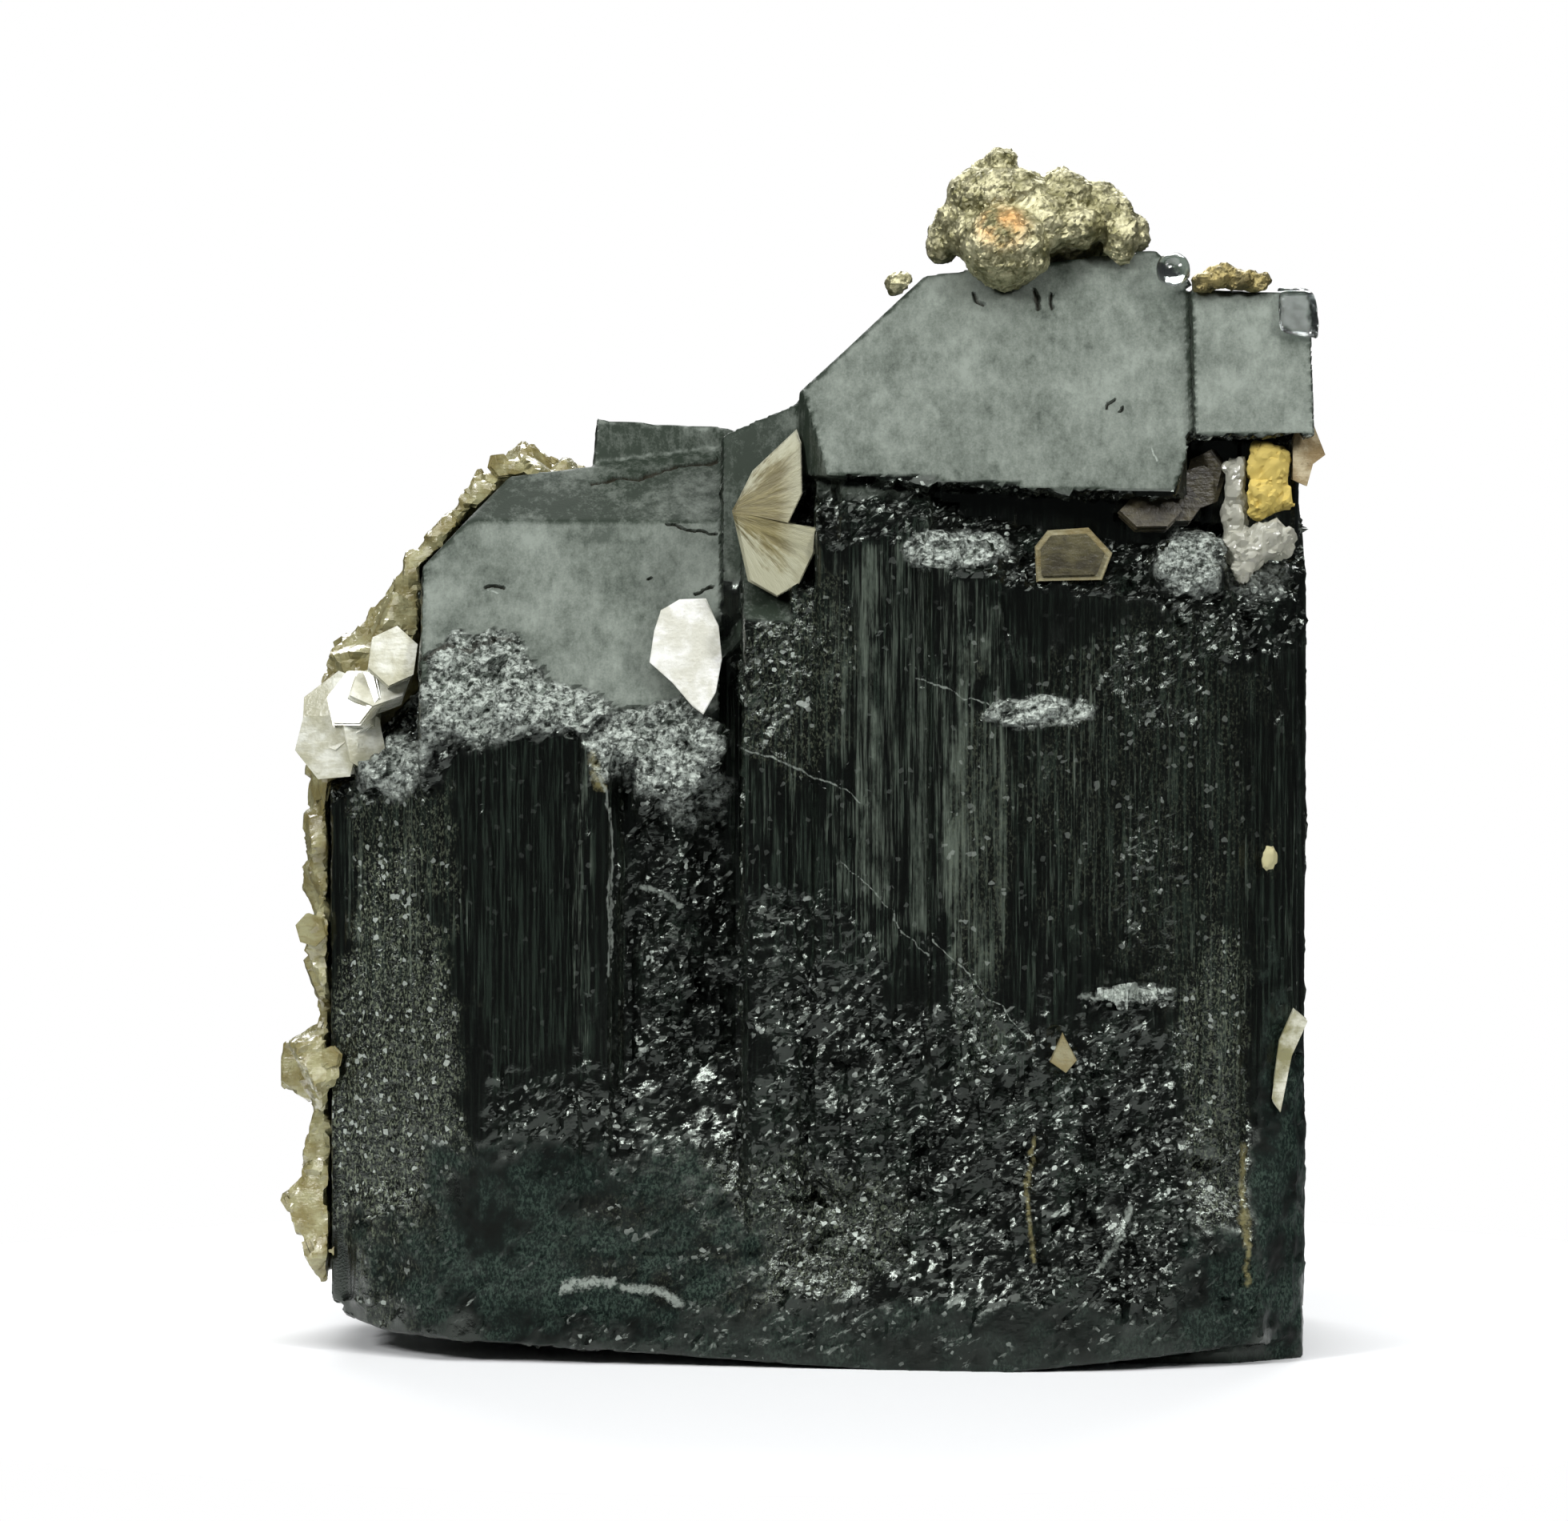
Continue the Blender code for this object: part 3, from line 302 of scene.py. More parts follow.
    @staticmethod
    def _divide(faces: np.ndarray, middles: np.ndarray, points: np.ndarray) -> np.ndarray:
        """Cuts each triangle at the middles of its split edges.

        Args:
            faces: corners of the triangles.
            middles: for each side of each triangle the middle's number, or -1.
            points: all points, the middles too.

        Returns:
            The corners of the new triangles.
        """
        count = (middles >= 0).sum(axis=1)
        made = [faces[count == 0]]
        for turn in range(3):
            one = (count == 1) & (middles[:, turn] >= 0)
            a, b, c = (faces[one][:, (turn + step) % 3] for step in range(3))
            m = middles[one][:, turn]
            made += [np.stack([a, m, c], axis=1), np.stack([m, b, c], axis=1)]
            two = (count == 2) & (middles[:, turn] < 0)
            a, b, c = (faces[two][:, (turn + step) % 3] for step in range(3))
            m = middles[two][:, (turn + 1) % 3]
            n = middles[two][:, (turn + 2) % 3]
            made.append(np.stack([m, c, n], axis=1))
            one_way = np.linalg.norm(points[a] - points[m], axis=1)
            other_way = np.linalg.norm(points[b] - points[n], axis=1)
            first = (one_way < other_way)[:, None]
            made.append(np.where(first, np.stack([a, b, m], axis=1), np.stack([a, b, n], axis=1)))
            made.append(np.where(first, np.stack([a, m, n], axis=1), np.stack([b, m, n], axis=1)))
        every = count == 3
        a, b, c = faces[every].T
        m, n, o = middles[every].T
        made += [np.stack(corners, axis=1) for corners in ((a, m, o), (m, b, n), (o, n, c), (m, n, o))]
        return np.concatenate(made)

    def face_normals(self) -> np.ndarray:
        """The normals of the triangles, each as long as twice its area."""
        a, b, c = (self.points[self.faces[:, corner]] for corner in range(3))
        return np.cross(b - a, c - a)

    def normals(self) -> np.ndarray:
        """The unit normal of each point, from the triangles around it."""
        across = self.face_normals()
        total = np.zeros_like(self.points)
        for corner in range(3):
            for axis in range(3):
                total[:, axis] += np.bincount(self.faces[:, corner], across[:, axis], len(self.points))
        return total / np.maximum(np.linalg.norm(total, axis=1, keepdims=True), 1e-12)


@dataclass
class Pile:
    """Loose flat crystals gathered into one mesh."""

    SHEET_LEAN = 0.025
    CORNER_SHARE = 0.012
    SHEET_SHARE = (0.72, 0.94)

    points: list = field(default_factory=list)
    faces: list = field(default_factory=list)

    def prism(self, base: Sequence[Vector], rise: Vector) -> None:
        """Adds a closed prism.

        Args:
            base: corners of its lower face, anticlockwise seen from above.
            rise: the way from the lower to the upper face.
        """
        start = len(self.points)
        sides = len(base)
        self.points += [tuple(corner) for corner in base]
        self.points += [tuple(corner + rise) for corner in base]
        self.faces.append(tuple(start + corner for corner in reversed(range(sides))))
        self.faces.append(tuple(start + sides + corner for corner in range(sides)))
        for corner in range(sides):
            low = start + corner
            next_low = start + (corner + 1) % sides
            self.faces.append((low, next_low, next_low + sides, low + sides))

    def stack(
        self,
        outline: Sequence[tuple[float, float]],
        thickness: float,
        sheets: int,
        place: Matrix,
        dice: np.random.Generator,
        ragged: float,
    ) -> None:
        """Adds a mica book: thin sheets of one outline, each a little smaller or shifted.

        Args:
            outline: the book's outline in its own plane, anticlockwise.
            thickness: of the whole book.
            sheets: how many sheets it shows.
            place: where the book's plane lies, its +Z being the way its faces look.
            dice: source of the small differences.
            ragged: the most by which a sheet is smaller than the outline.
        """
        step = thickness / sheets
        centre = np.mean(np.array(outline), axis=0)
        for sheet in range(sheets):
            shrink = 1.0 - dice.uniform(0.0, ragged)
            lean = dice.normal(0.0, self.SHEET_LEAN, 2)
            corners = []
            for u, v in outline:
                away = np.array([u, v]) - centre
                flat = centre + away * (shrink - abs(dice.normal(0.0, self.CORNER_SHARE)))
                height = -thickness / 2 + sheet * step + float(away @ lean) * step
                corners.append(place @ Vector((flat[0], flat[1], height)))
            up = place.to_3x3() @ Vector((0.0, 0.0, 1.0))
            self.prism(corners, up * step * dice.uniform(*self.SHEET_SHARE))


class Finish:
    """A surface finish: builds its own node material once."""

    name = "finish"

    def material(self) -> bpy.types.Material:
        """Gives the finish's material, building it the first time.

        Returns:
            The material.
        """
        known = bpy.data.materials.get(self.name)
        if known is None:
            known = bpy.data.materials.new(self.name)
            graph = Graph(known)
            self.paint(graph)
        return known

    def paint(self, graph: "Graph") -> None:
        """Builds the finish's nodes.

        Args:
            graph: the new material's node graph.
        """
        raise NotImplementedError


class Wire:
    """One output of a shader node, on which maths can be written plainly."""

    def __init__(self, graph: "Graph", socket: bpy.types.NodeSocket) -> None:
        """Wraps a socket.

        Args:
            graph: the graph that the socket belongs to.
            socket: an output of one of its nodes.
        """
        self.graph = graph
        self.socket = socket

    def _apply(self, operation: str, first: object, second: object) -> "Wire":
        """Adds the maths node that suits the socket."""
        if self.socket.type in ("VECTOR", "RGBA"):
            return self.graph.vector(operation, first, second)
        return self.graph.math(operation, first, second)

    def __add__(self, other: object) -> "Wire":
        return self._apply("ADD", self, other)

    def __radd__(self, other: object) -> "Wire":
        return self._apply("ADD", other, self)

    def __sub__(self, other: object) -> "Wire":
        return self._apply("SUBTRACT", self, other)

    def __rsub__(self, other: object) -> "Wire":
        return self._apply("SUBTRACT", other, self)

    def __mul__(self, other: object) -> "Wire":
        return self._apply("MULTIPLY", self, other)

    def __rmul__(self, other: object) -> "Wire":
        return self._apply("MULTIPLY", other, self)

    def __abs__(self) -> "Wire":
        return self.graph.math("ABSOLUTE", self)


class Graph:
    """The node graph of one material."""

    def __init__(self, material: bpy.types.Material) -> None:
        """Starts an empty graph with an output and one Principled shader.

        Args:
            material: the material to build.
        """
        material.use_nodes = True
        self.tree = material.node_tree
        self.tree.nodes.clear()
        output = self.tree.nodes.new("ShaderNodeOutputMaterial")
        self.shader = self.tree.nodes.new("ShaderNodeBsdfPrincipled")
        self.tree.links.new(self.shader.outputs["BSDF"], output.inputs["Surface"])

    def node(self, kind: str, settings: dict | None = None, inputs: dict | None = None) -> bpy.types.Node:
        """Adds a node.

        Args:
            kind: its type without the ShaderNode prefix.
            settings: its own properties by name.
            inputs: what goes into its inputs, by name or number.

        Returns:
            The node.
        """
        made = self.tree.nodes.new("ShaderNode" + kind)
        for name, value in (settings or {}).items():
            setattr(made, name, value)
        for name, value in (inputs or {}).items():
            self.feed(made.inputs[name], value)
        return made

    def feed(self, target: bpy.types.NodeSocket, value: object) -> None:
        """Links a wire to a socket, or sets a constant on it.

        Args:
            target: the input.
            value: a wire, a number or a tuple.
        """
        if isinstance(value, Wire):
            self.tree.links.new(value.socket, target)
        elif isinstance(value, tuple) and target.type == "RGBA" and len(value) == 3:
            target.default_value = (*value, 1.0)
        elif target.type == "VECTOR" and isinstance(value, (int, float)):
            target.default_value = (value, value, value)
        else:
            target.default_value = value

    def math(self, operation: str, first: object, second: object = 0.0, clamp: bool = False) -> Wire:
        """Plain maths on numbers."""
        made = self.node("Math", {"operation": operation, "use_clamp": clamp}, {0: first, 1: second})
        return Wire(self, made.outputs[0])

    def vector(self, operation: str, first: object, second: object = 0.0) -> Wire:
        """Maths on vectors and colours, piece by piece."""
        made = self.node("VectorMath", {"operation": operation}, {0: first, 1: second})
        return Wire(self, made.outputs[0])

    def clamp(self, value: Wire) -> Wire:
        """Keeps a number between 0 and 1."""
        return self.math("ADD", value, 0.0, clamp=True)

    def step(self, value: Wire, low: float, high: float) -> Wire:
        """Rises smoothly from 0 at low to 1 at high."""
        inputs = {"Value": value, "From Min": low, "From Max": high}
        made = self.node("MapRange", {"interpolation_type": "SMOOTHSTEP"}, inputs)
        return Wire(self, made.outputs["Result"])

    def blend(self, amount: object, first: object, second: object) -> Wire:
        """Mixes two colours: the first at 0 and below, the second at 1 and above."""
        made = self.node("Mix", {"data_type": "RGBA"}, {0: amount, 6: first, 7: second})
        return Wire(self, made.outputs[2])

    def place(self, stretch: tuple[float, float, float] = (1.0, 1.0, 1.0)) -> Wire:
        """The surface point in millimetres, with each axis multiplied."""
        spot = Wire(self, self.node("TexCoord").outputs["Object"])
        return spot * tuple(share / MM for share in stretch)

    def leaning_place(self, turn: float = 32.0, along: float = 0.75, across: float = 2.3) -> Wire:
        """The surface point turned about Y, and squeezed, for marks that climb to the right.

        Args:
            turn: how steeply the marks climb, in degrees.
            along: scale along them.
            across: scale across them.

        Returns:
            The point.
        """
        inputs = {"Vector": self.place(), "Angle": math.radians(turn)}
        turned = self.node("VectorRotate", {"rotation_type": "Y_AXIS"}, inputs)
        return Wire(self, turned.outputs[0]) * (along, 1.0, across)

    def cell_level(self, place: Wire, scale: float) -> Wire:
        """A random number from 0 to 1 for each cell."""
        split = self.node("SeparateColor", {}, {0: self.cells(place, scale)})
        return Wire(self, split.outputs[0])

    def attributes(self, *zones: Zone) -> list[Wire]:
        """How much of each surface quality the mesh carries here."""
        nodes = [self.node("Attribute", {"attribute_name": zone.value}) for zone in zones]
        return [Wire(self, made.outputs["Fac"]) for made in nodes]

    def noise(self, place: Wire, scale: float, detail: float = 2.0, rough: float = 0.5) -> Wire:
        """Soft noise between about 0.25 and 0.75."""
        inputs = {"Vector": place, "Scale": scale, "Detail": detail, "Roughness": rough}
        return Wire(self, self.node("TexNoise", {}, inputs).outputs[0])

    def cells(self, place: Wire, scale: float) -> Wire:
        """Cellular noise: a random colour for each cell."""
        made = self.node("TexVoronoi", {}, {"Vector": place, "Scale": scale})
        return Wire(self, made.outputs["Color"])

    def facets(self, place: Wire, scale: float, tilt: object) -> Wire:
        """Turns the surface normal by a random amount in each cell, as broken grains do."""
        normal = Wire(self, self.node("NewGeometry").outputs["Normal"])
        lean = self.vector("SCALE", self.cells(place, scale) - (0.5, 0.5, 0.5))
        self.feed(lean.socket.node.inputs["Scale"], tilt)
        return self.vector("NORMALIZE", normal + lean)

    def bump(self, height: Wire, depth: float, normal: Wire | None = None) -> Wire:
        """Surface relief from a height, whose full range is depth in millimetres."""
        inputs = {"Height": height, "Distance": depth * MM}
        if normal is not None:
            inputs["Normal"] = normal
        return Wire(self, self.node("Bump", {}, inputs).outputs["Normal"])

    def set(self, **inputs: object) -> None:
        """Feeds the Principled shader: names use underscores for spaces."""
        for name, value in inputs.items():
            self.feed(self.shader.inputs[name.replace("_", " ")], value)


@dataclass(frozen=True)
class FerberiteFinish(Finish):
    """Sub-metallic black: satin tips painted grey by light and shade on each facet, striated walls with
    painted highlights along the lines, and broken zones with real facets and painted glints.
    """

    WALL_ZONES = (Zone.LINES, Zone.ROUGH, Zone.GRAINY, Zone.SILVER, Zone.SMOOTH)
    STRIATED = (1.0, 1.0, 0.035)

    name: str = "ferberite_black"
    black: tuple = (0.0022, 0.0026, 0.0022)
    haze: tuple = (0.019, 0.028, 0.021)
    line: tuple = (0.112, 0.136, 0.109)
    # pale tone of the painted highlights along the striations
    grit: tuple = (0.150, 0.172, 0.118)
    veil: tuple = (0.050, 0.078, 0.060)
    # brightest painted highlights and painted glints; also the colour of the pale marks
    fleck_and_glint: tuple = (0.42, 0.47, 0.42)
    # dark and pale grains of the silver patches; the pale one also paints the glint dots: painted highlight
    silver_dark: tuple = (0.016, 0.019, 0.016)
    silver_glint_pale: tuple = (0.50, 0.55, 0.50)
    # shaded and lit tones of the tips: painted shade and painted light
    tip_shaded: tuple = (0.022, 0.031, 0.022)
    tip_lit: tuple = (0.200, 0.226, 0.197)
    teal: tuple = (0.0045, 0.0100, 0.0085)
    # dark tone of cracks and pits: painted shade
    crack_shade: tuple = (0.020, 0.014, 0.008)
    tan: tuple = (0.30, 0.27, 0.12)
    tint: tuple = (0.90, 1.0, 0.90)

    def walls(self, graph: Graph, spot: Wire) -> Wire:
        """The colour of everything but the tips, painted highlights and glints included.

        Args:
            graph: the material's graph.
            spot: the surface point in millimetres.

        Returns:
            The colour.
        """
        lines, rough, grainy, silver, smooth = graph.attributes(*self.WALL_ZONES)
        broad = graph.noise(graph.place((1.0, 1.0, 0.022)), 0.8, 5.0, 0.78)
        thin = graph.noise(graph.place(self.STRIATED), 5.0, 4.0, 0.72)
        breaks = graph.noise(graph.place((1.0, 1.0, 0.35)), 1.1, 4.0, 0.7)
        grain = graph.noise(graph.place((1.0, 1.0, 0.6)), 6.0, 3.0, 0.7)
        patch = graph.noise(spot, 0.38, 4.0, 0.62)
        group = graph.noise(graph.leaning_place(), 0.42, 3.0, 0.6)
        streak = graph.noise(graph.leaning_place(), 1.0, 5.0, 0.7)

        # Faint and strong pale lines along the striations: painted highlight of light caught by the
        # grooves, whose relief is real.
        faint = graph.step(thin, 0.47, 0.60) * graph.step(lines, 0.02, 0.25)
        colour = graph.blend(faint * 0.75, self.black, self.haze)
        stripe = graph.step(broad * 0.5 + thin * 0.5 + 0.24 * (lines - 0.6), 0.50, 0.68)
        stripe = stripe * graph.step(breaks, 0.30, 0.62) * graph.step(lines, 0.0, 0.15)
        colour = graph.blend(stripe, colour, self.line)
        bright = graph.step(thin, 0.60, 0.70) * graph.step(broad, 0.50, 0.62)
        bright = bright * graph.step(breaks, 0.45, 0.65)
        colour = graph.blend(bright * lines * 0.7, colour, self.fleck_and_glint)
        cloud = graph.step(patch, 0.46, 0.66) * rough * graph.step(grain, 0.40, 0.62)
        colour = graph.blend(cloud, colour, self.haze)
        speckle = graph.step(grain, 0.48, 0.66) * grainy
        colour = graph.blend(speckle, colour, self.grit)
        # Painted glints: pale streaks in the broken zones and sparse pale dots, where facets would catch
        # the light.
        glint_streak = graph.step(streak, 0.58, 0.65) * graph.step(group, 0.48, 0.60)
        colour = graph.blend(glint_streak * rough, colour, self.fleck_and_glint)
        level = graph.cell_level(spot, 3.8)
        crowd = graph.clamp(rough * graph.step(group, 0.42, 0.60) + grainy * 0.7 + lines * 0.10)
        glint = graph.step(level + 0.03 * crowd, 0.975, 0.985) * crowd
        colour = graph.blend(glint, colour, self.silver_glint_pale)
        colour = graph.blend(smooth * graph.step(patch, 0.30, 0.56) * 0.95, colour, self.teal)
        veil = graph.step(grain, 0.44, 0.60) * graph.step(patch, 0.40, 0.60) * smooth
        colour = graph.blend(veil * 0.7, colour, self.veil)
        # Silver patches: granular grey whose paleness is painted highlight of facets catching the light,
        # over real granular relief and tilted facets.
        crumb = graph.noise(spot, 2.4, 5.0, 0.8)
        silver_sheen = graph.blend(graph.step(crumb, 0.40, 0.59), self.silver_dark, self.silver_glint_pale)
        return graph.blend(silver * 1.1, colour, silver_sheen)

    def paint(self, graph: Graph) -> None:
        """Builds the finish's nodes."""
        lines, rough, grainy, silver, smooth = graph.attributes(*self.WALL_ZONES)
        tip, shade, stain, pale, crack = graph.attributes(
            Zone.TIP, Zone.SHADE, Zone.STAIN, Zone.PALE, Zone.CRACK
        )
        spot = graph.place()
        fine = graph.noise(spot, 7.0, 2.0, 0.6)
        jag = graph.noise(spot, 3.0, 4.0, 0.7)
        mottle = graph.noise(graph.place((1.0, 1.0, 0.4)), 0.9, 6.0, 0.7)
        cloud = graph.noise(spot, 0.22, 3.0, 0.6)
        brushed = graph.noise(graph.place((1.0, 1.0, 0.05)), 2.6, 4.0, 0.7)
        # the tips' grey is painted light and shade per facet, with random mottling on top
        grey = shade
        for layer, strength in ((mottle, 1.5), (cloud, 1.7), (fine, 0.6), (brushed, 1.0)):
            grey = grey + strength * (layer - 0.5)
        grey = graph.blend(grey, self.tip_shaded, self.tip_lit)
        colour = graph.blend(tip, self.walls(graph, spot), grey)
        ragged = 0.2 + 1.6 * jag
        stain = graph.step(stain * ragged, 0.50, 1.05)
        colour = graph.blend(stain * 0.5, colour, self.tan)
        pale = graph.step(pale * ragged, 0.60, 0.95)
        colour = graph.blend(pale * 0.5, colour, self.fleck_and_glint)
        # Cracks and pits darkened: painted shade in the creases, over a real groove on the tips.
        crack = graph.step(crack * (0.6 + 0.8 * jag), 0.55, 0.80)
        colour = graph.blend(crack * 0.75, colour, self.crack_shade)

        gloss = 0.13 + 0.12 * fine + 0.04 * rough + 0.42 * smooth + 0.18 * silver
        gloss = gloss + tip * (0.30 + 0.14 * mottle) + crack * 0.4
        patch = graph.noise(graph.leaning_place(), 0.5, 3.0, 0.6)
        broken = rough * (0.22 + 0.78 * graph.step(patch, 0.42, 0.62))
        tilt = graph.clamp(broken * 0.8 + silver * 0.8 + grainy * 0.3 + lines * 0.08) * (1.0 - tip)
        normal = graph.facets(graph.leaning_place(1.0), 3.8, tilt)
        groove = graph.noise(graph.place(self.STRIATED), 2.4, 4.0, 0.75)
        relief = groove * (0.10 + lines) * 1.1 * (1.0 - tip) + fine * (0.12 + grainy * 0.5)
        normal = graph.bump(relief, 0.09, normal)
        wall_index = 1.66 - 0.50 * smooth + 0.2 * silver - 0.18 * rough
        tip_index = 1.22 + 0.80 * shade
        graph.set(
            Base_Color=colour,
            Roughness=graph.clamp(gloss),
            Normal=normal,
            IOR=wall_index * (1.0 - tip) + tip_index * tip,
            Specular_Tint=self.tint,
        )


@dataclass(frozen=True)
class MicaFinish(Finish):
    """Pearly mica: pale on the sheets' faces and browner on their stepped edges."""

    name: str = "mica"
    face: tuple = (0.66, 0.62, 0.47)
    edge: tuple = (0.30, 0.24, 0.11)
    stain: tuple = (0.20, 0.16, 0.08)
    roughness: float = 0.28
    layers: float = 5.0
    coat: float = 0.5

    def paint(self, graph: Graph) -> None:
        """Builds the finish's nodes."""
        spot = graph.place()
        patch = graph.noise(spot, 0.55, 4.0, 0.6)
        fine = graph.noise(spot, 3.0, 4.0, 0.6)
        layer = graph.noise(graph.place((0.25, 0.25, 1.0)), self.layers, 2.0)
        colour = graph.blend(graph.step(patch, 0.36, 0.64), self.edge, self.face)
        colour = graph.blend(graph.step(layer, 0.50, 0.66) * 0.45, colour, self.edge)
        colour = graph.blend(graph.step(fine, 0.58, 0.75) * 0.5, colour, self.stain)
        normal = graph.bump(fine + layer * 0.8, 0.06)
        gloss = self.roughness + 0.22 * (fine - 0.4)
        graph.set(
            Base_Color=colour,
            Roughness=graph.clamp(gloss),
            Normal=normal,
            IOR=MICA_INDEX,
            Coat_Weight=self.coat,
            Coat_Roughness=0.12,
        )


@dataclass(frozen=True)
class FanFinish(Finish):
    """Mica whose sheets radiate from one point, tan in the middle and pearly at the edge."""

    name: str = "mica_fan_rays"
    tan: tuple = (0.23, 0.20, 0.085)
    dark: tuple = (0.13, 0.11, 0.042)
    pearl: tuple = (0.42, 0.42, 0.30)
    apex: tuple = (-4.4, 0.0, 53.1)

    def paint(self, graph: Graph) -> None:
        """Builds the finish's nodes."""
        spot = graph.place()
        away = graph.node("SeparateXYZ", {}, {0: spot - self.apex})
        across = Wire(graph, away.outputs["X"])
        up = Wire(graph, away.outputs["Z"])
        turn = graph.math("ARCTAN2", up, across)
        polar = graph.node("CombineXYZ", {}, {0: turn * 6.0, 1: across * 0.35, 2: up * 0.15})
        ray = graph.noise(Wire(graph, polar.outputs[0]), 1.3, 4.0, 0.7)
        patch = graph.noise(spot, 0.8, 3.0, 0.6)
        colour = graph.blend(graph.step(ray, 0.38, 0.62), self.dark, self.tan)
        edge = graph.step(abs(turn) + 1.2 * (ray - 0.5) + 0.8 * (patch - 0.5), 0.62, 1.0)
        colour = graph.blend(edge * 0.85, colour, self.pearl)
        tip = graph.step(across + 2.0 * (ray - 0.5), 3.0, 4.6)
        colour = graph.blend(tip * 0.7, colour, self.pearl)
        normal = graph.bump(ray, 0.12)
        gloss = 0.3 + 0.2 * patch
        graph.set(Base_Color=colour, Roughness=gloss, Normal=normal, IOR=MICA_INDEX, Coat_Weight=0.5)


@dataclass(frozen=True)
class PyriteFinish(Finish):
    """Brass-yellow metal mottled at random with dull olive, and a warm tint on its front."""

    name: str = "pyrite_brass"
    bright: tuple = (0.64, 0.61, 0.39)
    dull: tuple = (0.20, 0.19, 0.09)
    warm: tuple = (0.70, 0.40, 0.15)
    warm_spot: tuple = (12.9, -10.6, 71.1)

    def paint(self, graph: Graph) -> None:
        """Builds the finish's nodes."""
        spot = graph.place()
        grain = graph.noise(spot, 2.4, 5.0, 0.7)
        patch = graph.noise(spot, 0.7, 3.0)
        colour = graph.blend(graph.step(grain * 0.5 + patch * 0.5, 0.40, 0.60), self.dull, self.bright)
        away = graph.node("VectorMath", {"operation": "DISTANCE"}, {0: spot, 1: self.warm_spot})
        near = 1.0 - graph.step(Wire(graph, away.outputs["Value"]), 0.4, 2.4)
        colour = graph.blend(near * graph.step(patch, 0.3, 0.6), colour, self.warm)
        sparkle = graph.noise(spot, 1.1, 3.0)
        normal = graph.facets(spot, 4.0, 0.25 + 0.7 * graph.step(sparkle, 0.45, 0.60))
        normal = graph.bump(grain, 0.07, normal)
        gloss = 0.28 + 0.34 * grain
        graph.set(Base_Color=colour, Metallic=0.75, Roughness=graph.clamp(gloss), Normal=normal)


@dataclass(frozen=True)
class QuartzFinish(Finish):
    """Quartz: clear where its milkiness is low."""

    name: str = "quartz"
    tint: tuple = (0.93, 0.95, 0.95)
    clear: float = 1.0
    roughness: float = 0.03

    def paint(self, graph: Graph) -> None:
        """Builds the finish's nodes."""
        spot = graph.place()
        fine = graph.noise(spot, 1.6, 4.0, 0.6)
        graph.set(
            Base_Color=self.tint,
            Roughness=self.roughness,
            Transmission_Weight=self.clear,
            IOR=QUARTZ_INDEX,
            Normal=graph.bump(fine, 0.05),
        )


@dataclass(frozen=True)
class CrumbFinish(Finish):
    """A dull, crumbly mineral in two colours."""

    MIX = 0.06

    name: str = "crumb"
    first: tuple = (0.70, 0.50, 0.06)
    second: tuple = (0.62, 0.52, 0.30)
    shadow: tuple = (0.25, 0.19, 0.08)
    share: float = 0.5
    roughness: float = 0.75

    def paint(self, graph: Graph) -> None:
        """Builds the finish's nodes."""
        spot = graph.place()
        patch = graph.noise(spot, 0.8, 4.0, 0.6)
        grain = graph.noise(spot, 4.0, 4.0, 0.65)
        other = graph.step(patch, self.share - self.MIX, self.share + self.MIX)
        colour = graph.blend(other, self.first, self.second)
        colour = graph.blend(graph.step(grain, 0.55, 0.7) * 0.35, colour, self.shadow)
        normal = graph.bump(grain, 0.12)
        graph.set(Base_Color=colour, Roughness=self.roughness, Normal=normal)


@dataclass(frozen=True)
class FloorFinish(Finish):
    """The pale, slightly glossy surface that the specimen stands on."""

    name: str = "pale_floor"

    def paint(self, graph: Graph) -> None:
        """Builds the finish's nodes."""
        graph.set(Base_Color=(0.90, 0.91, 0.92), Roughness=0.6, Specular_IOR_Level=0.1)


TAN_MICA = MicaFinish("mica_tan", (0.38, 0.365, 0.20), (0.22, 0.185, 0.068), (0.09, 0.07, 0.03))
PEARL_MICA = MicaFinish(
    "mica_pearl", (0.84, 0.85, 0.75), (0.52, 0.51, 0.37), (0.32, 0.30, 0.19), 0.22, 3.0, 0.8
)
SILVER_MICA = MicaFinish(
    "mica_silver", (0.90, 0.91, 0.87), (0.66, 0.66, 0.57), (0.50, 0.48, 0.38), 0.20, 2.0, 0.9
)
FAN_MICA = MicaFinish(
    "mica_fan", (0.62, 0.54, 0.36), (0.30, 0.22, 0.11), (0.16, 0.11, 0.05), 0.25, 5.0, 0.6
)
SMOKY_MICA = MicaFinish(
    "mica_smoky", (0.040, 0.035, 0.020), (0.10, 0.09, 0.045), (0.02, 0.017, 0.012), 0.28, 3.0, 0.2
)
RIM_MICA = MicaFinish(
    "mica_rim", (0.30, 0.28, 0.17), (0.22, 0.18, 0.08), (0.10, 0.08, 0.04), 0.3, 5.0, 0.4
)
# the paler third colour speckles this book: painted olive highlight
BROWN_MICA = MicaFinish(
    "mica_brown", (0.060, 0.050, 0.022), (0.022, 0.017, 0.008), (0.15, 0.14, 0.07), 0.42, 4.0, 0.1
)
EDGE_MICA = MicaFinish(
    "mica_edge", (0.74, 0.74, 0.62), (0.26, 0.25, 0.13), (0.14, 0.13, 0.06), 0.2, 3.0, 0.6
)
OLIVE_BRASS = PyriteFinish("brassy_olive", (0.40, 0.33, 0.14), (0.13, 0.11, 0.05), (0.3, 0.2, 0.1))
OCHRE = CrumbFinish("ochre", (0.66, 0.53, 0.10), (0.68, 0.66, 0.48), share=0.49)
PALE_CRUMB = CrumbFinish("pale_bleb", (0.45, 0.44, 0.24), (0.30, 0.31, 0.19), roughness=0.4)
GREY_QUARTZ = QuartzFinish("quartz_grey", (0.66, 0.66, 0.56), 0.45, 0.18)
CLEAR_QUARTZ = QuartzFinish("quartz_clear", (0.74, 0.79, 0.77), 1.0, 0.10)


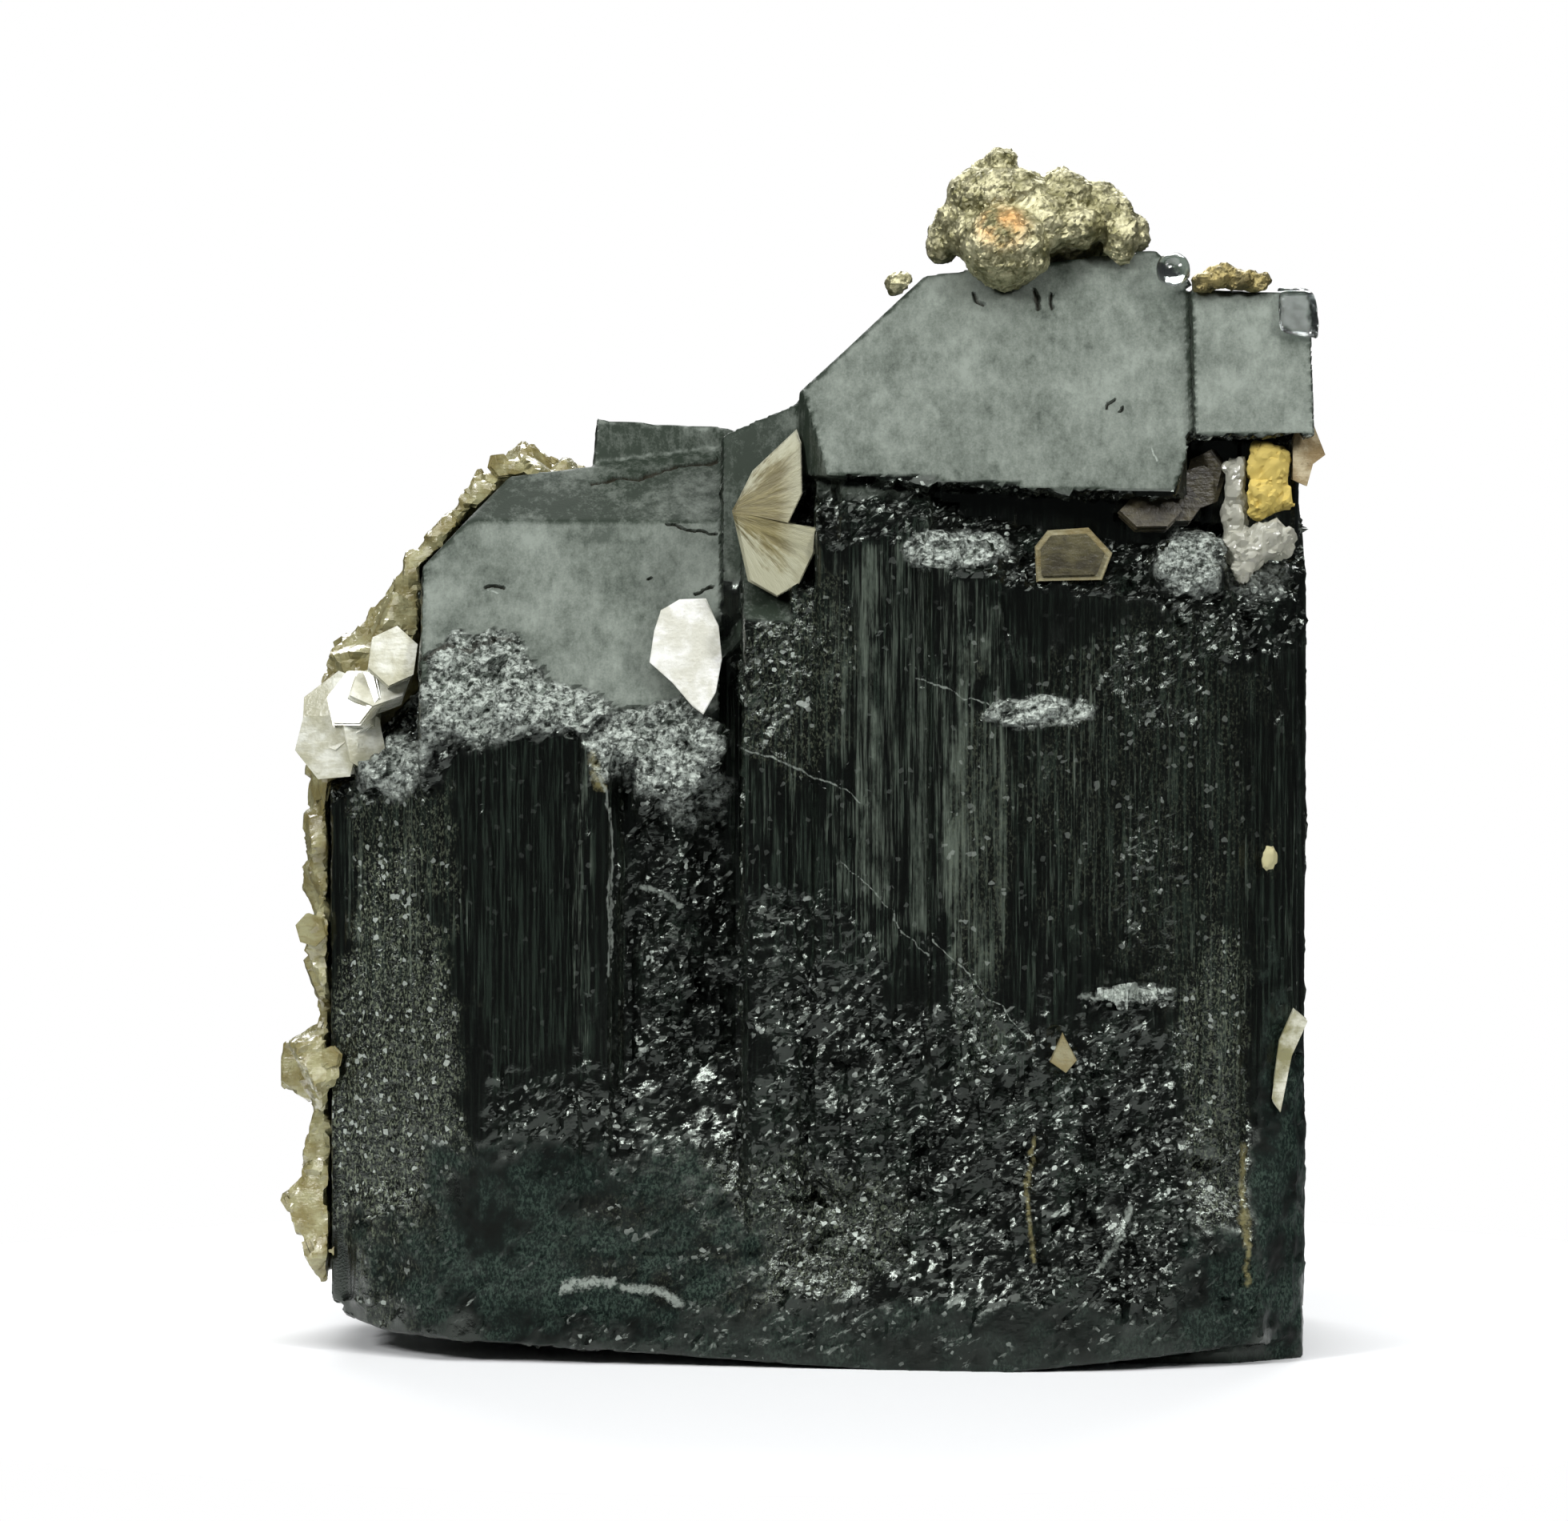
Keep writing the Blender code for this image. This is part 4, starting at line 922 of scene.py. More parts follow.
def ease(value: np.ndarray, low: float, high: float) -> np.ndarray:
    """Rises smoothly from 0 at low to 1 at high, or falls if high is less than low."""
    part = np.clip((value - low) / (high - low), 0.0, 1.0)
    return part * part * (3.0 - 2.0 * part)


@dataclass(frozen=True)
class Patch:
    """A ragged oval of the front: middle and half size in x and z, strength, and lean."""

    x: float
    z: float
    wide: float
    high: float
    amount: float = 1.0
    lean: float = 0.0

    def cover(self, points: np.ndarray, ragged: np.ndarray) -> np.ndarray:
        """How much of each point the patch covers.

        Args:
            points: where to look.
            ragged: noise that moves the patch's edge.

        Returns:
            A number from 0 to the patch's strength for each point.
        """
        up = points[:, 2] - self.z
        across = points[:, 0] - self.x - self.lean * up
        away = np.sqrt((across / self.wide) ** 2 + (up / self.high) ** 2) + 0.28 * ragged
        return self.amount * ease(away, 1.12, 0.78)


def covered(patches: Sequence[Patch], points: np.ndarray, ragged: np.ndarray) -> np.ndarray:
    """The strongest of several patches at each point."""
    total = np.zeros(len(points))
    for patch in patches:
        total = np.maximum(total, patch.cover(points, ragged))
    return total


@dataclass(frozen=True)
class Mark:
    """A thin mark on the front: its route (x, height as it shows from the front) and half width."""

    REACH = 1.0

    zone: Zone
    wide: float
    route: tuple[tuple[float, float], ...]

    def away(self, flat: np.ndarray) -> np.ndarray:
        """Distance from the mark's middle line.

        Args:
            flat: points (x, height), one row each.

        Returns:
            The distance of each point, in millimetres.
        """
        corners = np.array(self.route)
        low = corners.min(axis=0) - self.REACH
        high = corners.max(axis=0) + self.REACH
        close = np.all((flat > low) & (flat < high), axis=1)
        spots = flat[close]
        near = np.full(len(spots), self.REACH)
        for start, along in zip(corners, np.diff(corners, axis=0)):
            share = np.clip((spots - start) @ along / (along @ along), 0.0, 1.0)
            near = np.minimum(near, np.linalg.norm(spots - start - share[:, None] * along, axis=1))
        best = np.full(len(flat), self.REACH)
        best[close] = near
        return best


@dataclass
class Piece:
    """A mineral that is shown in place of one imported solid."""

    node: str
    finish: Finish
    slot: str

    def show(self, suffix: str, points: np.ndarray, faces: list, sharp: float) -> bpy.types.Object:
        """Makes a mesh object that rides on the specimen and stands for the solid.

        Args:
            suffix: what its name adds to the solid's.
            points: its points in millimetres.
            faces: its faces, as an array if all are triangles.
            sharp: edges that bend more than this, in degrees, stay crisp.

        Returns:
            The object.
        """
        name = f"{self.node}_{suffix}"
        mesh = bpy.data.meshes.new(name)
        if isinstance(faces, np.ndarray):
            mesh.vertices.add(len(points))
            mesh.vertices.foreach_set("co", (points * MM).astype(np.float32).ravel())
            mesh.loops.add(faces.size)
            mesh.loops.foreach_set("vertex_index", faces.astype(np.int32).ravel())
            mesh.polygons.add(len(faces))
            mesh.polygons.foreach_set("loop_start", np.arange(0, faces.size, 3, dtype=np.int32))
            mesh.update(calc_edges=True)
            mesh.validate()
        else:
            mesh.from_pydata([tuple(MM * value for value in point) for point in points], [], faces)
        mesh.shade_smooth()
        mesh.set_sharp_from_angle(angle=math.radians(sharp))
        mesh.materials.append(self.finish.material())
        made = bpy.data.objects.new(name, mesh)
        bpy.context.scene.collection.objects.link(made)
        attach(made, BODY)
        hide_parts(self.node)
        log.info("%s: %d faces", name, len(mesh.polygons))
        return made


@dataclass
class FerberiteGroup(Piece):
    """The crystal group: its relief, its zones and its finish."""

    DEPTH_LIFT = 0.061
    FRONT = -12.0
    WANDER = 0.20
    WANDER_SIZE = 1.3
    MARKED_DEPTH = 2.0
    TIP_RISE = 0.545
    TIP_FEET = (54.0, 40.5)

    node: str = "ferberite"
    finish: Finish = FerberiteFinish()
    slot: str = "ferberite"
    mesh_step: float = 0.28
    slices: int = 4
    line_patches: tuple = (
        Patch(7.5, 40.0, 6.5, 17.0, 0.80),
        Patch(11.3, 32.0, 2.2, 13.0, 1.0),
        Patch(14.8, 32.0, 2.4, 13.0, 0.55),
        Patch(19.5, 36.0, 3.4, 12.0, 0.55),
        Patch(24.0, 36.0, 4.0, 12.0, 0.40),
        Patch(-17.5, 30.0, 4.6, 13.0, 0.34),
        Patch(-13.3, 28.0, 0.9, 10.0, 0.65),
        Patch(26.0, 20.0, 2.4, 10.0, 0.55),
        Patch(-1.0, 38.0, 4.0, 12.0, 0.65),
        Patch(-25.0, 30.0, 5.0, 7.0, 0.55),
        Patch(29.5, 30.0, 3.0, 16.0, 0.40),
    )
    rough_patches: tuple = (
        Patch(-7.2, 27.0, 3.8, 13.5, 0.85),
        Patch(6.5, 14.0, 11.0, 9.5, 1.0, 0.2),
        Patch(18.5, 12.0, 7.0, 10.5, 1.0),
        Patch(1.0, 24.0, 5.0, 6.0, 0.8, -0.3),
        Patch(-13.0, 15.0, 7.0, 4.0, 0.5),
        Patch(26.5, 5.0, 3.5, 4.5, 0.5),
        Patch(-2.0, 3.0, 26.0, 3.4, 0.45),
        Patch(22.5, 43.0, 3.5, 4.0, 0.40),
        Patch(22.0, 30.0, 2.5, 6.0, 0.25),
        Patch(27.5, 46.5, 4.5, 3.0, 0.75),
        Patch(3.5, 52.6, 5.5, 1.6, 0.7),
        Patch(-1.5, 44.0, 3.0, 5.0, 0.55),
    )
    grainy_patches: tuple = (
        Patch(-25.2, 18.0, 4.6, 15.0, 0.95),
        Patch(-24.5, 32.0, 4.0, 5.0, 0.45),
        Patch(26.2, 17.5, 2.3, 11.0, 0.6),
        Patch(0.0, 43.0, 4.0, 6.0, 0.4),
        Patch(-4.0, 8.0, 12.0, 5.0, 0.45),
        Patch(22.5, 36.0, 8.0, 13.0, 0.16),
        Patch(11.3, 30.0, 2.0, 12.0, 0.25),
    )
    # patches painted pale where broken facets catch the light, over real granular relief
    silver_patches: tuple = (
        Patch(-19.8, 42.2, 3.9, 3.2, 1.0),
        Patch(-15.3, 40.9, 2.9, 1.5, 0.9),
        Patch(-8.6, 38.2, 3.6, 2.9, 0.8),
        Patch(-6.3, 35.6, 2.2, 2.2, 0.75),
        Patch(-25.4, 36.8, 2.6, 2.0, 0.7),
        Patch(24.4, 49.8, 2.4, 2.2, 0.75),
        Patch(9.8, 50.8, 3.3, 1.1, 1.0, 0.5),
        Patch(14.9, 40.8, 3.0, 0.8, 1.0),
        Patch(20.4, 23.2, 2.6, 0.5, 0.9),
        Patch(29.0, 49.0, 2.4, 1.4, 0.45),
    )
    smooth_patches: tuple = (
        Patch(-14.0, 7.0, 13.0, 6.4, 0.80),
        Patch(8.0, 2.0, 18.0, 2.6, 0.35),
        Patch(27.0, 5.0, 3.5, 4.5, 0.7),
        Patch(30.2, 11.0, 1.9, 13.0, 0.9),
    )
    marks: tuple = (
        # crack marks, pits and the dimple ring are darkened as painted shade
        Mark(
            Zone.CRACK,
            0.11,
            ((-13.0, 55.1), (-11.2, 55.4), (-9.7, 55.6), (-8.2, 56.0), (-6.6, 56.3), (-5.0, 56.7)),
        ),
        Mark(Zone.CRACK, 0.07, ((-8.2, 52.3), (-7.3, 52.1), (-6.2, 52.0), (-4.9, 51.8))),
        Mark(Zone.CRACK, 0.07, ((-19.3, 48.2), (-18.9, 48.35), (-18.2, 48.3))),
        Mark(Zone.CRACK, 0.07, ((-9.1, 48.9), (-8.9, 49.0))),
        Mark(Zone.CRACK, 0.08, ((-6.3, 48.1), (-5.4, 48.4))),
        Mark(Zone.CRACK, 0.16, ((-23.0, 43.9), (-21.8, 44.5), (-20.2, 44.4), (-18.6, 44.8), (-17.6, 44.6))),
        Mark(Zone.CRACK, 0.05, ((19.4, 59.5), (19.5, 59.9), (19.9, 60.1))),
        Mark(Zone.CRACK, 0.06, ((20.1, 59.3), (20.4, 59.6))),
        Mark(Zone.CRACK, 0.13, ((14.9, 67.0), (15.1, 66.3), (15.2, 65.8))),
        Mark(Zone.CRACK, 0.10, ((15.8, 66.8), (16.0, 66.2), (16.1, 65.9))),
        Mark(Zone.CRACK, 0.12, ((11.1, 66.9), (11.4, 66.4), (11.7, 66.2))),
        # a painted glint on the main tip
        Mark(Zone.PALE, 0.08, ((22.1, 56.9), (22.4, 56.2))),
        # painted glints in the pit
        Mark(Zone.PALE, 0.05, ((-19.2, 48.0), (-18.5, 48.0))),
        Mark(Zone.PALE, 0.06, ((-3.3, 38.3), (-1.5, 37.8), (0.3, 36.9), (2.2, 36.0), (4.2, 34.9))),
        Mark(Zone.PALE, 0.06, ((7.2, 42.5), (8.8, 42.2), (10.3, 41.4), (12.0, 40.8))),
        Mark(Zone.PALE, 0.05, ((2.7, 31.3), (4.8, 29.4), (6.7, 27.0), (8.3, 25.0))),
        Mark(Zone.PALE, 0.05, ((8.5, 26.3), (10.8, 24.2), (13.0, 21.7), (14.5, 20.2))),
        Mark(Zone.PALE, 0.20, ((-9.6, 29.5), (-8.3, 29.2), (-7.2, 28.4))),
        Mark(Zone.PALE, 0.20, ((17.8, 22.8), (19.2, 22.6), (21.0, 22.9), (23.2, 22.8))),
        Mark(Zone.PALE, 0.26, ((18.9, 6.0), (20.1, 7.8), (20.8, 9.6))),
        Mark(Zone.PALE, 0.55, ((-14.6, 4.5), (-12.7, 4.9), (-11.4, 4.9))),
        Mark(Zone.PALE, 0.70, ((-10.6, 4.6), (-8.2, 4.3), (-7.2, 3.6))),
        Mark(Zone.PALE, 0.12, ((-12.4, 37.0), (-11.9, 35.6), (-11.5, 33.0), (-11.5, 30.0), (-11.6, 24.0))),
        Mark(Zone.STAIN, 0.24, ((27.9, 13.5), (27.7, 10.0), (28.2, 7.0), (28.0, 5.0))),
        Mark(Zone.STAIN, 0.16, ((14.6, 14.0), (14.3, 10.0), (14.7, 6.5))),
        Mark(Zone.STAIN, 0.34, ((-12.7, 37.6), (-12.2, 36.0))),
    )
    mark_reach: float = 0.4
    mark_step: float = 0.14

    @classmethod
    def flat(cls, points: np.ndarray) -> np.ndarray:
        """Where points show from the front: x, and height raised a little with depth."""
        height = points[:, 2] + cls.DEPTH_LIFT * (points[:, 1] - cls.FRONT)
        return np.stack([points[:, 0], height], axis=1)

    @classmethod
    def seen(cls, points: np.ndarray) -> np.ndarray:
        """Where points show from the front, made uneven so that no mark has a ruled edge."""
        uneven = [Lattice(seed).layered(points / cls.WANDER_SIZE, 3, 0.6) for seed in (31, 32)]
        return cls.flat(points) + cls.WANDER * np.stack(uneven, axis=1)

    @staticmethod
    def upright(normals: np.ndarray) -> np.ndarray:
        """How nearly each face is upright: 1 for a wall, 0 for anything that leans far."""
        return np.clip(1.0 - np.abs(normals[:, 2]) / 0.3, 0.0, 1.0)

    def step(self, middle: np.ndarray) -> np.ndarray:
        """The longest edge allowed at each point: short at marks, any length elsewhere."""
        reach = np.full(len(middle), np.inf)
        flat = self.flat(middle)
        front = middle[:, 1] < self.MARKED_DEPTH
        for mark in self.marks:
            close = front & (mark.away(flat) < self.mark_reach)
            reach[close] = self.mark_step
        return reach

    def zones(self, points: np.ndarray, normals: np.ndarray) -> dict[Zone, np.ndarray]:
        """Works out the surface qualities at each point.

        Args:
            points: the surface points.
            normals: their normals.

        Returns:
            For each quality, a number from 0 to 1 for each point.
        """
        x, y, z = points.T
        rise = normals[:, 2]
        ragged = Lattice(41).layered(points / 2.6, 4, 0.65)
        upright = self.upright(normals)
        front = np.clip(-normals[:, 1] * 2.0, 0.0, 1.0) * (y < -8.0)
        away = 1.0 - front
        silver = covered(self.silver_patches, points, ragged) * front
        foot = np.where(x > 0.0, *self.TIP_FEET)
        tip = np.clip((rise - 0.22) / 0.1, 0.0, 1.0) * np.clip((z - foot) / 0.6, 0.0, 1.0)
        tip = np.maximum(tip, ((x > 0.0) & (x < 3.0) & (z > 54.6) & (y < -2.0)).astype(float))
        tip = tip * (1.0 - ease(silver, 0.1, 0.4))
        rough = covered(self.rough_patches, points, ragged)
        rough = np.maximum(rough * front, np.where(x > 30.0, 0.2, 0.6) * away * ease(ragged, 0.0, 0.7))
        ledge = 0.9 * ease(np.abs(rise), 0.22, 0.4) * (z > 5.0)
        rough = np.maximum(rough * (0.85 + 0.5 * ragged), np.maximum(silver, ledge))
        rough = np.clip(rough, 0.0, 1.0) * (1.0 - tip)
        smooth = covered(self.smooth_patches, points, ragged) * (1.0 - tip) * (y < -7.0)
        smooth = np.maximum(smooth, 0.6 * np.clip(1.0 - z / 1.2, 0.0, 1.0))
        grainy = np.maximum(covered(self.grainy_patches, points, ragged) * front, 0.25 * away)
        lines = np.maximum(covered(self.line_patches, points, ragged) * front, 0.12 + 0.4 * away)
        lines = upright * lines * (1.0 - 0.7 * rough) * (1.0 - 0.9 * smooth) * (1.0 - tip)
        # Painted light and shade on the tips: facets at the tip's slope face the light and are paler, the
        # crystal behind the middle is darker, and the tips are paler toward the top, on the right tip and a
        # little on the left tip.
        chisel = 1.0 - ease(np.abs(rise - self.TIP_RISE), 0.03, 0.12)
        behind = (x > -4.7) & (x < 0.3) & (z < 59.7)
        shade = 0.10 + 0.34 * chisel * np.where(behind, 0.1, 1.0)
        shade = shade + chisel * (0.14 * ease(z, 54.0, 62.0) + 0.08 * (x > 24.5) + 0.04 * (x < -4.0))
        made = {
            Zone.TIP: tip,
            Zone.LINES: lines,
            Zone.ROUGH: rough,
            Zone.GRAINY: grainy * (1.0 - tip) * (1.0 - 0.8 * smooth),
            Zone.SILVER: silver,
            Zone.SMOOTH: smooth,
            Zone.SHADE: np.clip(shade, 0.0, 1.0),
        }
        made |= {zone: np.zeros(len(points)) for zone in (Zone.CRACK, Zone.PALE, Zone.STAIN)}
        flat = self.seen(points)
        for mark in self.marks:
            span = min(3.0 * mark.wide, mark.REACH)
            near = np.clip(1.0 - mark.away(flat) / span, 0.0, 1.0) * (y < self.MARKED_DEPTH)
            made[mark.zone] = np.maximum(made[mark.zone], near)
        return made

    def relief(self, points: np.ndarray, normals: np.ndarray, zones: dict[Zone, np.ndarray]) -> np.ndarray:
        """How far the surface stands out at each point, in millimetres."""
        upright = self.upright(normals)
        columns = points * np.array([1.0, 1.0, 0.025])
        broad = Lattice(7).layered(columns / 1.5, 3, 0.6)
        ridges = 1.0 - 2.0 * np.abs(Lattice(8).layered(columns / 0.62, 2, 0.6))
        lines = upright * (1.0 - 0.7 * zones[Zone.ROUGH]) * (1.0 - 0.8 * zones[Zone.SMOOTH])
        lines = lines * (0.13 * broad + 0.06 * ridges) * (1.0 - zones[Zone.TIP])
        leaning = points @ np.array([[1.0, 0.0, 0.35], [0.0, 1.0, 0.0], [-0.45, 0.0, 0.9]])
        rough = 0.75 * Lattice(9).grains(leaning / 1.7) + 0.34 * Lattice(10).grains(points / 0.6)
        rough = zones[Zone.ROUGH] * (rough + 0.25 * Lattice(13).layered(leaning / 3.5, 2))
        grainy = zones[Zone.GRAINY] * 0.12 * Lattice(15).grains(points / 0.45)
        silver = zones[Zone.SILVER] * (0.30 * Lattice(14).grains(points / 0.5) + 0.12)
        waves = 0.20 * Lattice(11).layered(points / 3.0, 4, 0.6) + 0.16 * Lattice(16).grains(points / 2.2)
        waves = waves + 0.10 * Lattice(10).grains(points / 0.9)
        waves = waves * zones[Zone.SMOOTH] * (1.0 - zones[Zone.ROUGH])
        faint = Lattice(12).layered(points / 3.0, 3) * 0.012
        cracks = -0.30 * ease(zones[Zone.CRACK], 0.45, 0.9) * zones[Zone.TIP]
        return lines + rough + grainy + silver + waves + faint + cracks

    def build(self) -> None:
        """Makes the group as upright slices of one skin, so that no mesh grows too large."""
        mesh_step = self.mesh_step * 1.0
        hull = Hull.of_node(self.node).even(mesh_step).refine(self.step)
        low = hull.points.min(axis=0)
        high = hull.points.max(axis=0)
        zones = self.zones(hull.points, hull.normals())
        hull = hull.soften((1.0 - zones[Zone.TIP]) * ease(hull.points[:, 2], 0.0, 1.0), 2)
        normals = hull.normals()
        ground = np.clip(hull.points[:, 2:] / 1.5, 0.0, 1.0)
        moved = hull.points + normals * self.relief(hull.points, normals, zones)[:, None] * ground
        moved = np.clip(moved, low, high)
        order = np.argsort(moved[hull.faces, 0].mean(axis=1), kind="stable")
        for number, chosen in enumerate(np.array_split(hull.faces[order], self.slices)):
            used, faces = np.unique(chosen, return_inverse=True)
            made = self.show(f"group_{number + 1}", moved[used], faces.reshape(-1, 3), BLUNT)
            for zone, amount in zones.items():
                kept = made.data.attributes.new(zone.value, "FLOAT", "POINT")
                kept.data.foreach_set("value", amount[used].astype(np.float32))


def hexagon(radius: float, stretch: float = 1.0) -> list[tuple[float, float]]:
    """A six-sided outline, longer along its first axis by stretch."""
    turns = [math.radians(60.0 * corner) for corner in range(6)]
    return [(radius * stretch * math.cos(turn), radius * math.sin(turn)) for turn in turns]


def facing(centre: Sequence[float], way: Sequence[float], spin: float) -> Matrix:
    """The place of a flat crystal, from its centre, the way it faces and its turn in degrees."""
    turn = Vector(way).to_track_quat("Z", "Y").to_matrix().to_4x4()
    return Matrix.Translation(Vector(centre)) @ turn @ Matrix.Rotation(math.radians(spin), 4, "Z")


@dataclass
class MicaCrust(Piece):
    """Scaly mica: the solid's form with terraces of flat scales, and small books on it."""

    books: int
    size: tuple[float, float]
    seed: int
    step: float = 0.3
    scale: float = 2.1

    def skin(self) -> tuple[np.ndarray, np.ndarray]:
        """The solid's surface with flat, tilted scales.

        Returns:
            Its points and its faces.
        """
        hull = Hull.of_node(self.node).even(self.step)
        normals = hull.normals()
        flaky = Lattice(self.seed)
        height = 0.42 * flaky.grains(hull.points / self.scale)
        height += 0.12 * flaky.grains(hull.points / 0.8 + 5.0)
        layer = hull.points @ np.array([0.9, 0.2, 0.35]) / 0.55
        height += 0.05 * np.abs((layer % 1.0) - 0.5)
        low = hull.points.min(axis=0)
        high = hull.points.max(axis=0)
        return np.clip(hull.points + normals * height[:, None], low, high), hull.faces

    def build(self) -> None:
        """Makes the crust."""
        dice = np.random.default_rng(self.seed)
        hull = Hull.of_node(self.node)
        across = hull.face_normals()
        area = np.linalg.norm(across, axis=1)
        pick = dice.choice(len(area), self.books, p=area / area.sum())
        pile = Pile()
        low = hull.points.min(axis=0)
        high = hull.points.max(axis=0)
        for face in pick:
            share = dice.dirichlet((1.0, 1.0, 1.0))
            spot = share @ hull.points[hull.faces[face]]
            way = across[face] / area[face] + dice.normal(0.0, 0.22, 3)
            radius = dice.uniform(*self.size)
            thickness = dice.uniform(0.3, 0.6)
            way = way / np.linalg.norm(way)
            spot = spot - way * thickness * 0.42
            margin = radius * 0.55 * np.sqrt(np.maximum(1.0 - way**2, 0.0))
            spot = np.clip(spot, low + margin - 0.3, high - margin + 0.3)
            place = facing(spot, way, dice.uniform(0.0, 60.0))
            outline = hexagon(radius, dice.uniform(1.0, 1.35))
            pile.stack(outline, thickness, int(dice.integers(2, 4)), place, dice, 0.16)
        self.show("skin", *self.skin(), BLUNT)
        self.show("scales", pile.points, pile.faces, CRISP)


@dataclass(frozen=True)
class Blade:
    """One mica book: centre, radius, thickness, the way it faces, its turn and its stretch."""

    centre: tuple[float, float, float]
    radius: float
    thickness: float
    way: tuple[float, float, float]
    spin: float
    stretch: float = 1.0


@dataclass
class MicaBooks(Piece):
    """A few larger mica books that stand for one solid."""

    blades: tuple[Blade, ...]
    seed: int
    sheet: float = 0.14

    def build(self) -> None:
        """Makes the books."""
        dice = np.random.default_rng(self.seed)
        pile = Pile()
        for blade in self.blades:
            sheets = max(3, round(blade.thickness / self.sheet))
            place = facing(blade.centre, blade.way, blade.spin)
            outline = hexagon(blade.radius, blade.stretch)
            pile.stack(outline, blade.thickness, sheets, place, dice, 0.10)
        self.show("books", pile.points, pile.faces, CRISP)


@dataclass(frozen=True)
class Leaf:
    """A flat crystal with an outline (x, z), its front, its thickness and its lean."""

    outline: tuple[tuple[float, float], ...]
    front: float
    thickness: float
    lean: float


@dataclass
class MicaLeaves(Piece):
    """Mica with a set outline that faces the front."""

    leaves: tuple[Leaf, ...]
    seed: int
    sheet: float = 0.16

    def build(self) -> None:
        """Makes the leaves."""
        dice = np.random.default_rng(self.seed)
        pile = Pile()
        for leaf in self.leaves:
            low = min(z for x, z in leaf.outline)
            shift = leaf.front - leaf.lean * low + leaf.thickness / 2
            upright = Matrix(((1, 0, 0, 0), (0, leaf.lean, -1, shift), (0, 1, 0, 0), (0, 0, 0, 1)))
            corners = list(leaf.outline)
            sides = zip(corners, corners[1:] + corners[:1])
            if sum((x1 - x0) * (z1 + z0) for (x0, z0), (x1, z1) in sides) > 0:
                corners.reverse()
            sheets = max(3, round(leaf.thickness / self.sheet))
            pile.stack(corners, leaf.thickness, sheets, upright, dice, 0.07)
        self.show("leaves", pile.points, pile.faces, CRISP)


@dataclass(frozen=True)
class Texture:
    """Relief of a mass: height and size of its lumps, then height and size of its grains."""

    lumps: float
    lump_size: float
    grains: float
    grain_size: float


@dataclass
class Nugget(Piece):
    """A grainy or glassy mass: the solid's form with a finer relief."""

    SPREAD = 0.25

    texture: Texture
    seed: int
    sharp: float = BLUNT
    soft: int = 2
    step: float = 0.22

    def build(self) -> None:
        """Makes the mass."""
        hull = Hull.of_node(self.node).even(self.step)
        hull = hull.soften(np.ones(len(hull.points)), self.soft)
        normals = hull.normals()
        texture = self.texture
        offset, _ = Lattice(self.seed).cells(hull.points / texture.lump_size)
        height = texture.lumps * (0.55 - np.linalg.norm(offset, axis=1))
        height += texture.grains * Lattice(self.seed + 1).grains(hull.points / texture.grain_size)
        low = hull.points.min(axis=0) - self.SPREAD
        high = hull.points.max(axis=0) + self.SPREAD
        moved = np.clip(hull.points + normals * height[:, None], low, high)
        self.show("skin", moved, hull.faces, self.sharp)


ROSETTE_BLADES = (
    Blade((-25.3, -10.3, 43.8), 1.75, 1.0, (0.15, -1.0, 0.35), 80.0, 1.2),
    Blade((-27.6, -9.9, 41.2), 1.8, 1.0, (-0.35, -1.0, 0.3), 55.0, 1.25),
    Blade((-29.3, -9.2, 38.2), 2.1, 1.1, (-0.3, -1.0, -0.05), 130.0, 1.15),
    Blade((-27.3, -9.4, 38.6), 1.5, 1.4, (0.45, -1.0, 0.1), 100.0, 1.6),
    Blade((-26.2, -9.6, 41.8), 1.5, 1.6, (0.2, -1.0, 0.5), 20.0, 1.5),
    Blade((-28.5, -8.4, 40.2), 2.6, 1.6, (-0.5, -1.0, 0.4), 40.0, 1.1),
)
BROWN_BLADES = (
    Blade((24.7, -12.6, 54.4), 1.5, 1.5, (0.3, -1.0, 0.1), 20.0, 1.5),
    Blade((25.6, -12.0, 55.2), 1.3, 1.3, (-0.4, -1.0, 0.0), 75.0, 1.4),
    Blade((22.0, -14.4, 53.0), 1.3, 1.2, (0.1, -1.0, 0.4), 0.0, 1.6),
    Blade((23.6, -13.6, 53.4), 1.3, 1.6, (0.1, -1.0, 0.3), 0.0, 1.3),
)
WHITE_LEAF = Leaf(
    (
        (-9.2, 43.7),
        (-8.9, 45.7),
        (-8.5, 47.0),
        (-7.3, 47.7),
        (-5.6, 47.7),
        (-4.75, 46.0),
        (-4.55, 43.9),
        (-4.95, 41.8),
        (-5.75, 40.45),
        (-6.45, 40.95),
        (-7.7, 42.4),
    ),
    front=-15.2,
    thickness=1.7,
    lean=0.32,
)
UPPER_FAN = Leaf(
    ((-4.0, 53.0), (-2.75, 55.5), (0.05, 58.1), (0.35, 57.4), (0.4, 54.2), (-0.5, 52.3)),
    front=-14.6,
    thickness=4.6,
    lean=0.42,
)
LOWER_FAN = Leaf(
    ((-4.0, 53.2), (-0.5, 52.4), (1.3, 52.1), (1.2, 50.6), (0.2, 48.6), (-1.2, 47.8), (-3.0, 48.8)),
    front=-16.0,
    thickness=6.0,
    lean=0.16,
)
SMOKY_RIM = Leaf(
    ((14.85, 48.8), (14.75, 51.0), (15.55, 52.05), (18.15, 52.2), (19.65, 50.6), (19.0, 48.9)),
    front=-16.9,
    thickness=1.0,
    lean=0.2,
)
SMOKY_FACE = Leaf(
    ((15.15, 49.2), (15.1, 50.9), (15.75, 51.75), (18.0, 51.85), (19.15, 50.6), (18.65, 49.3)),
    front=-17.05,
    thickness=0.4,
    lean=0.2,
)
EDGE_LEAF = Leaf(
    ((30.9, 57.3), (31.5, 60.2), (32.3, 58.4), (33.0, 56.6), (32.2, 56.0), (31.8, 54.6), (30.9, 55.0)),
    front=-13.4,
    thickness=2.2,
    lean=0.1,
)
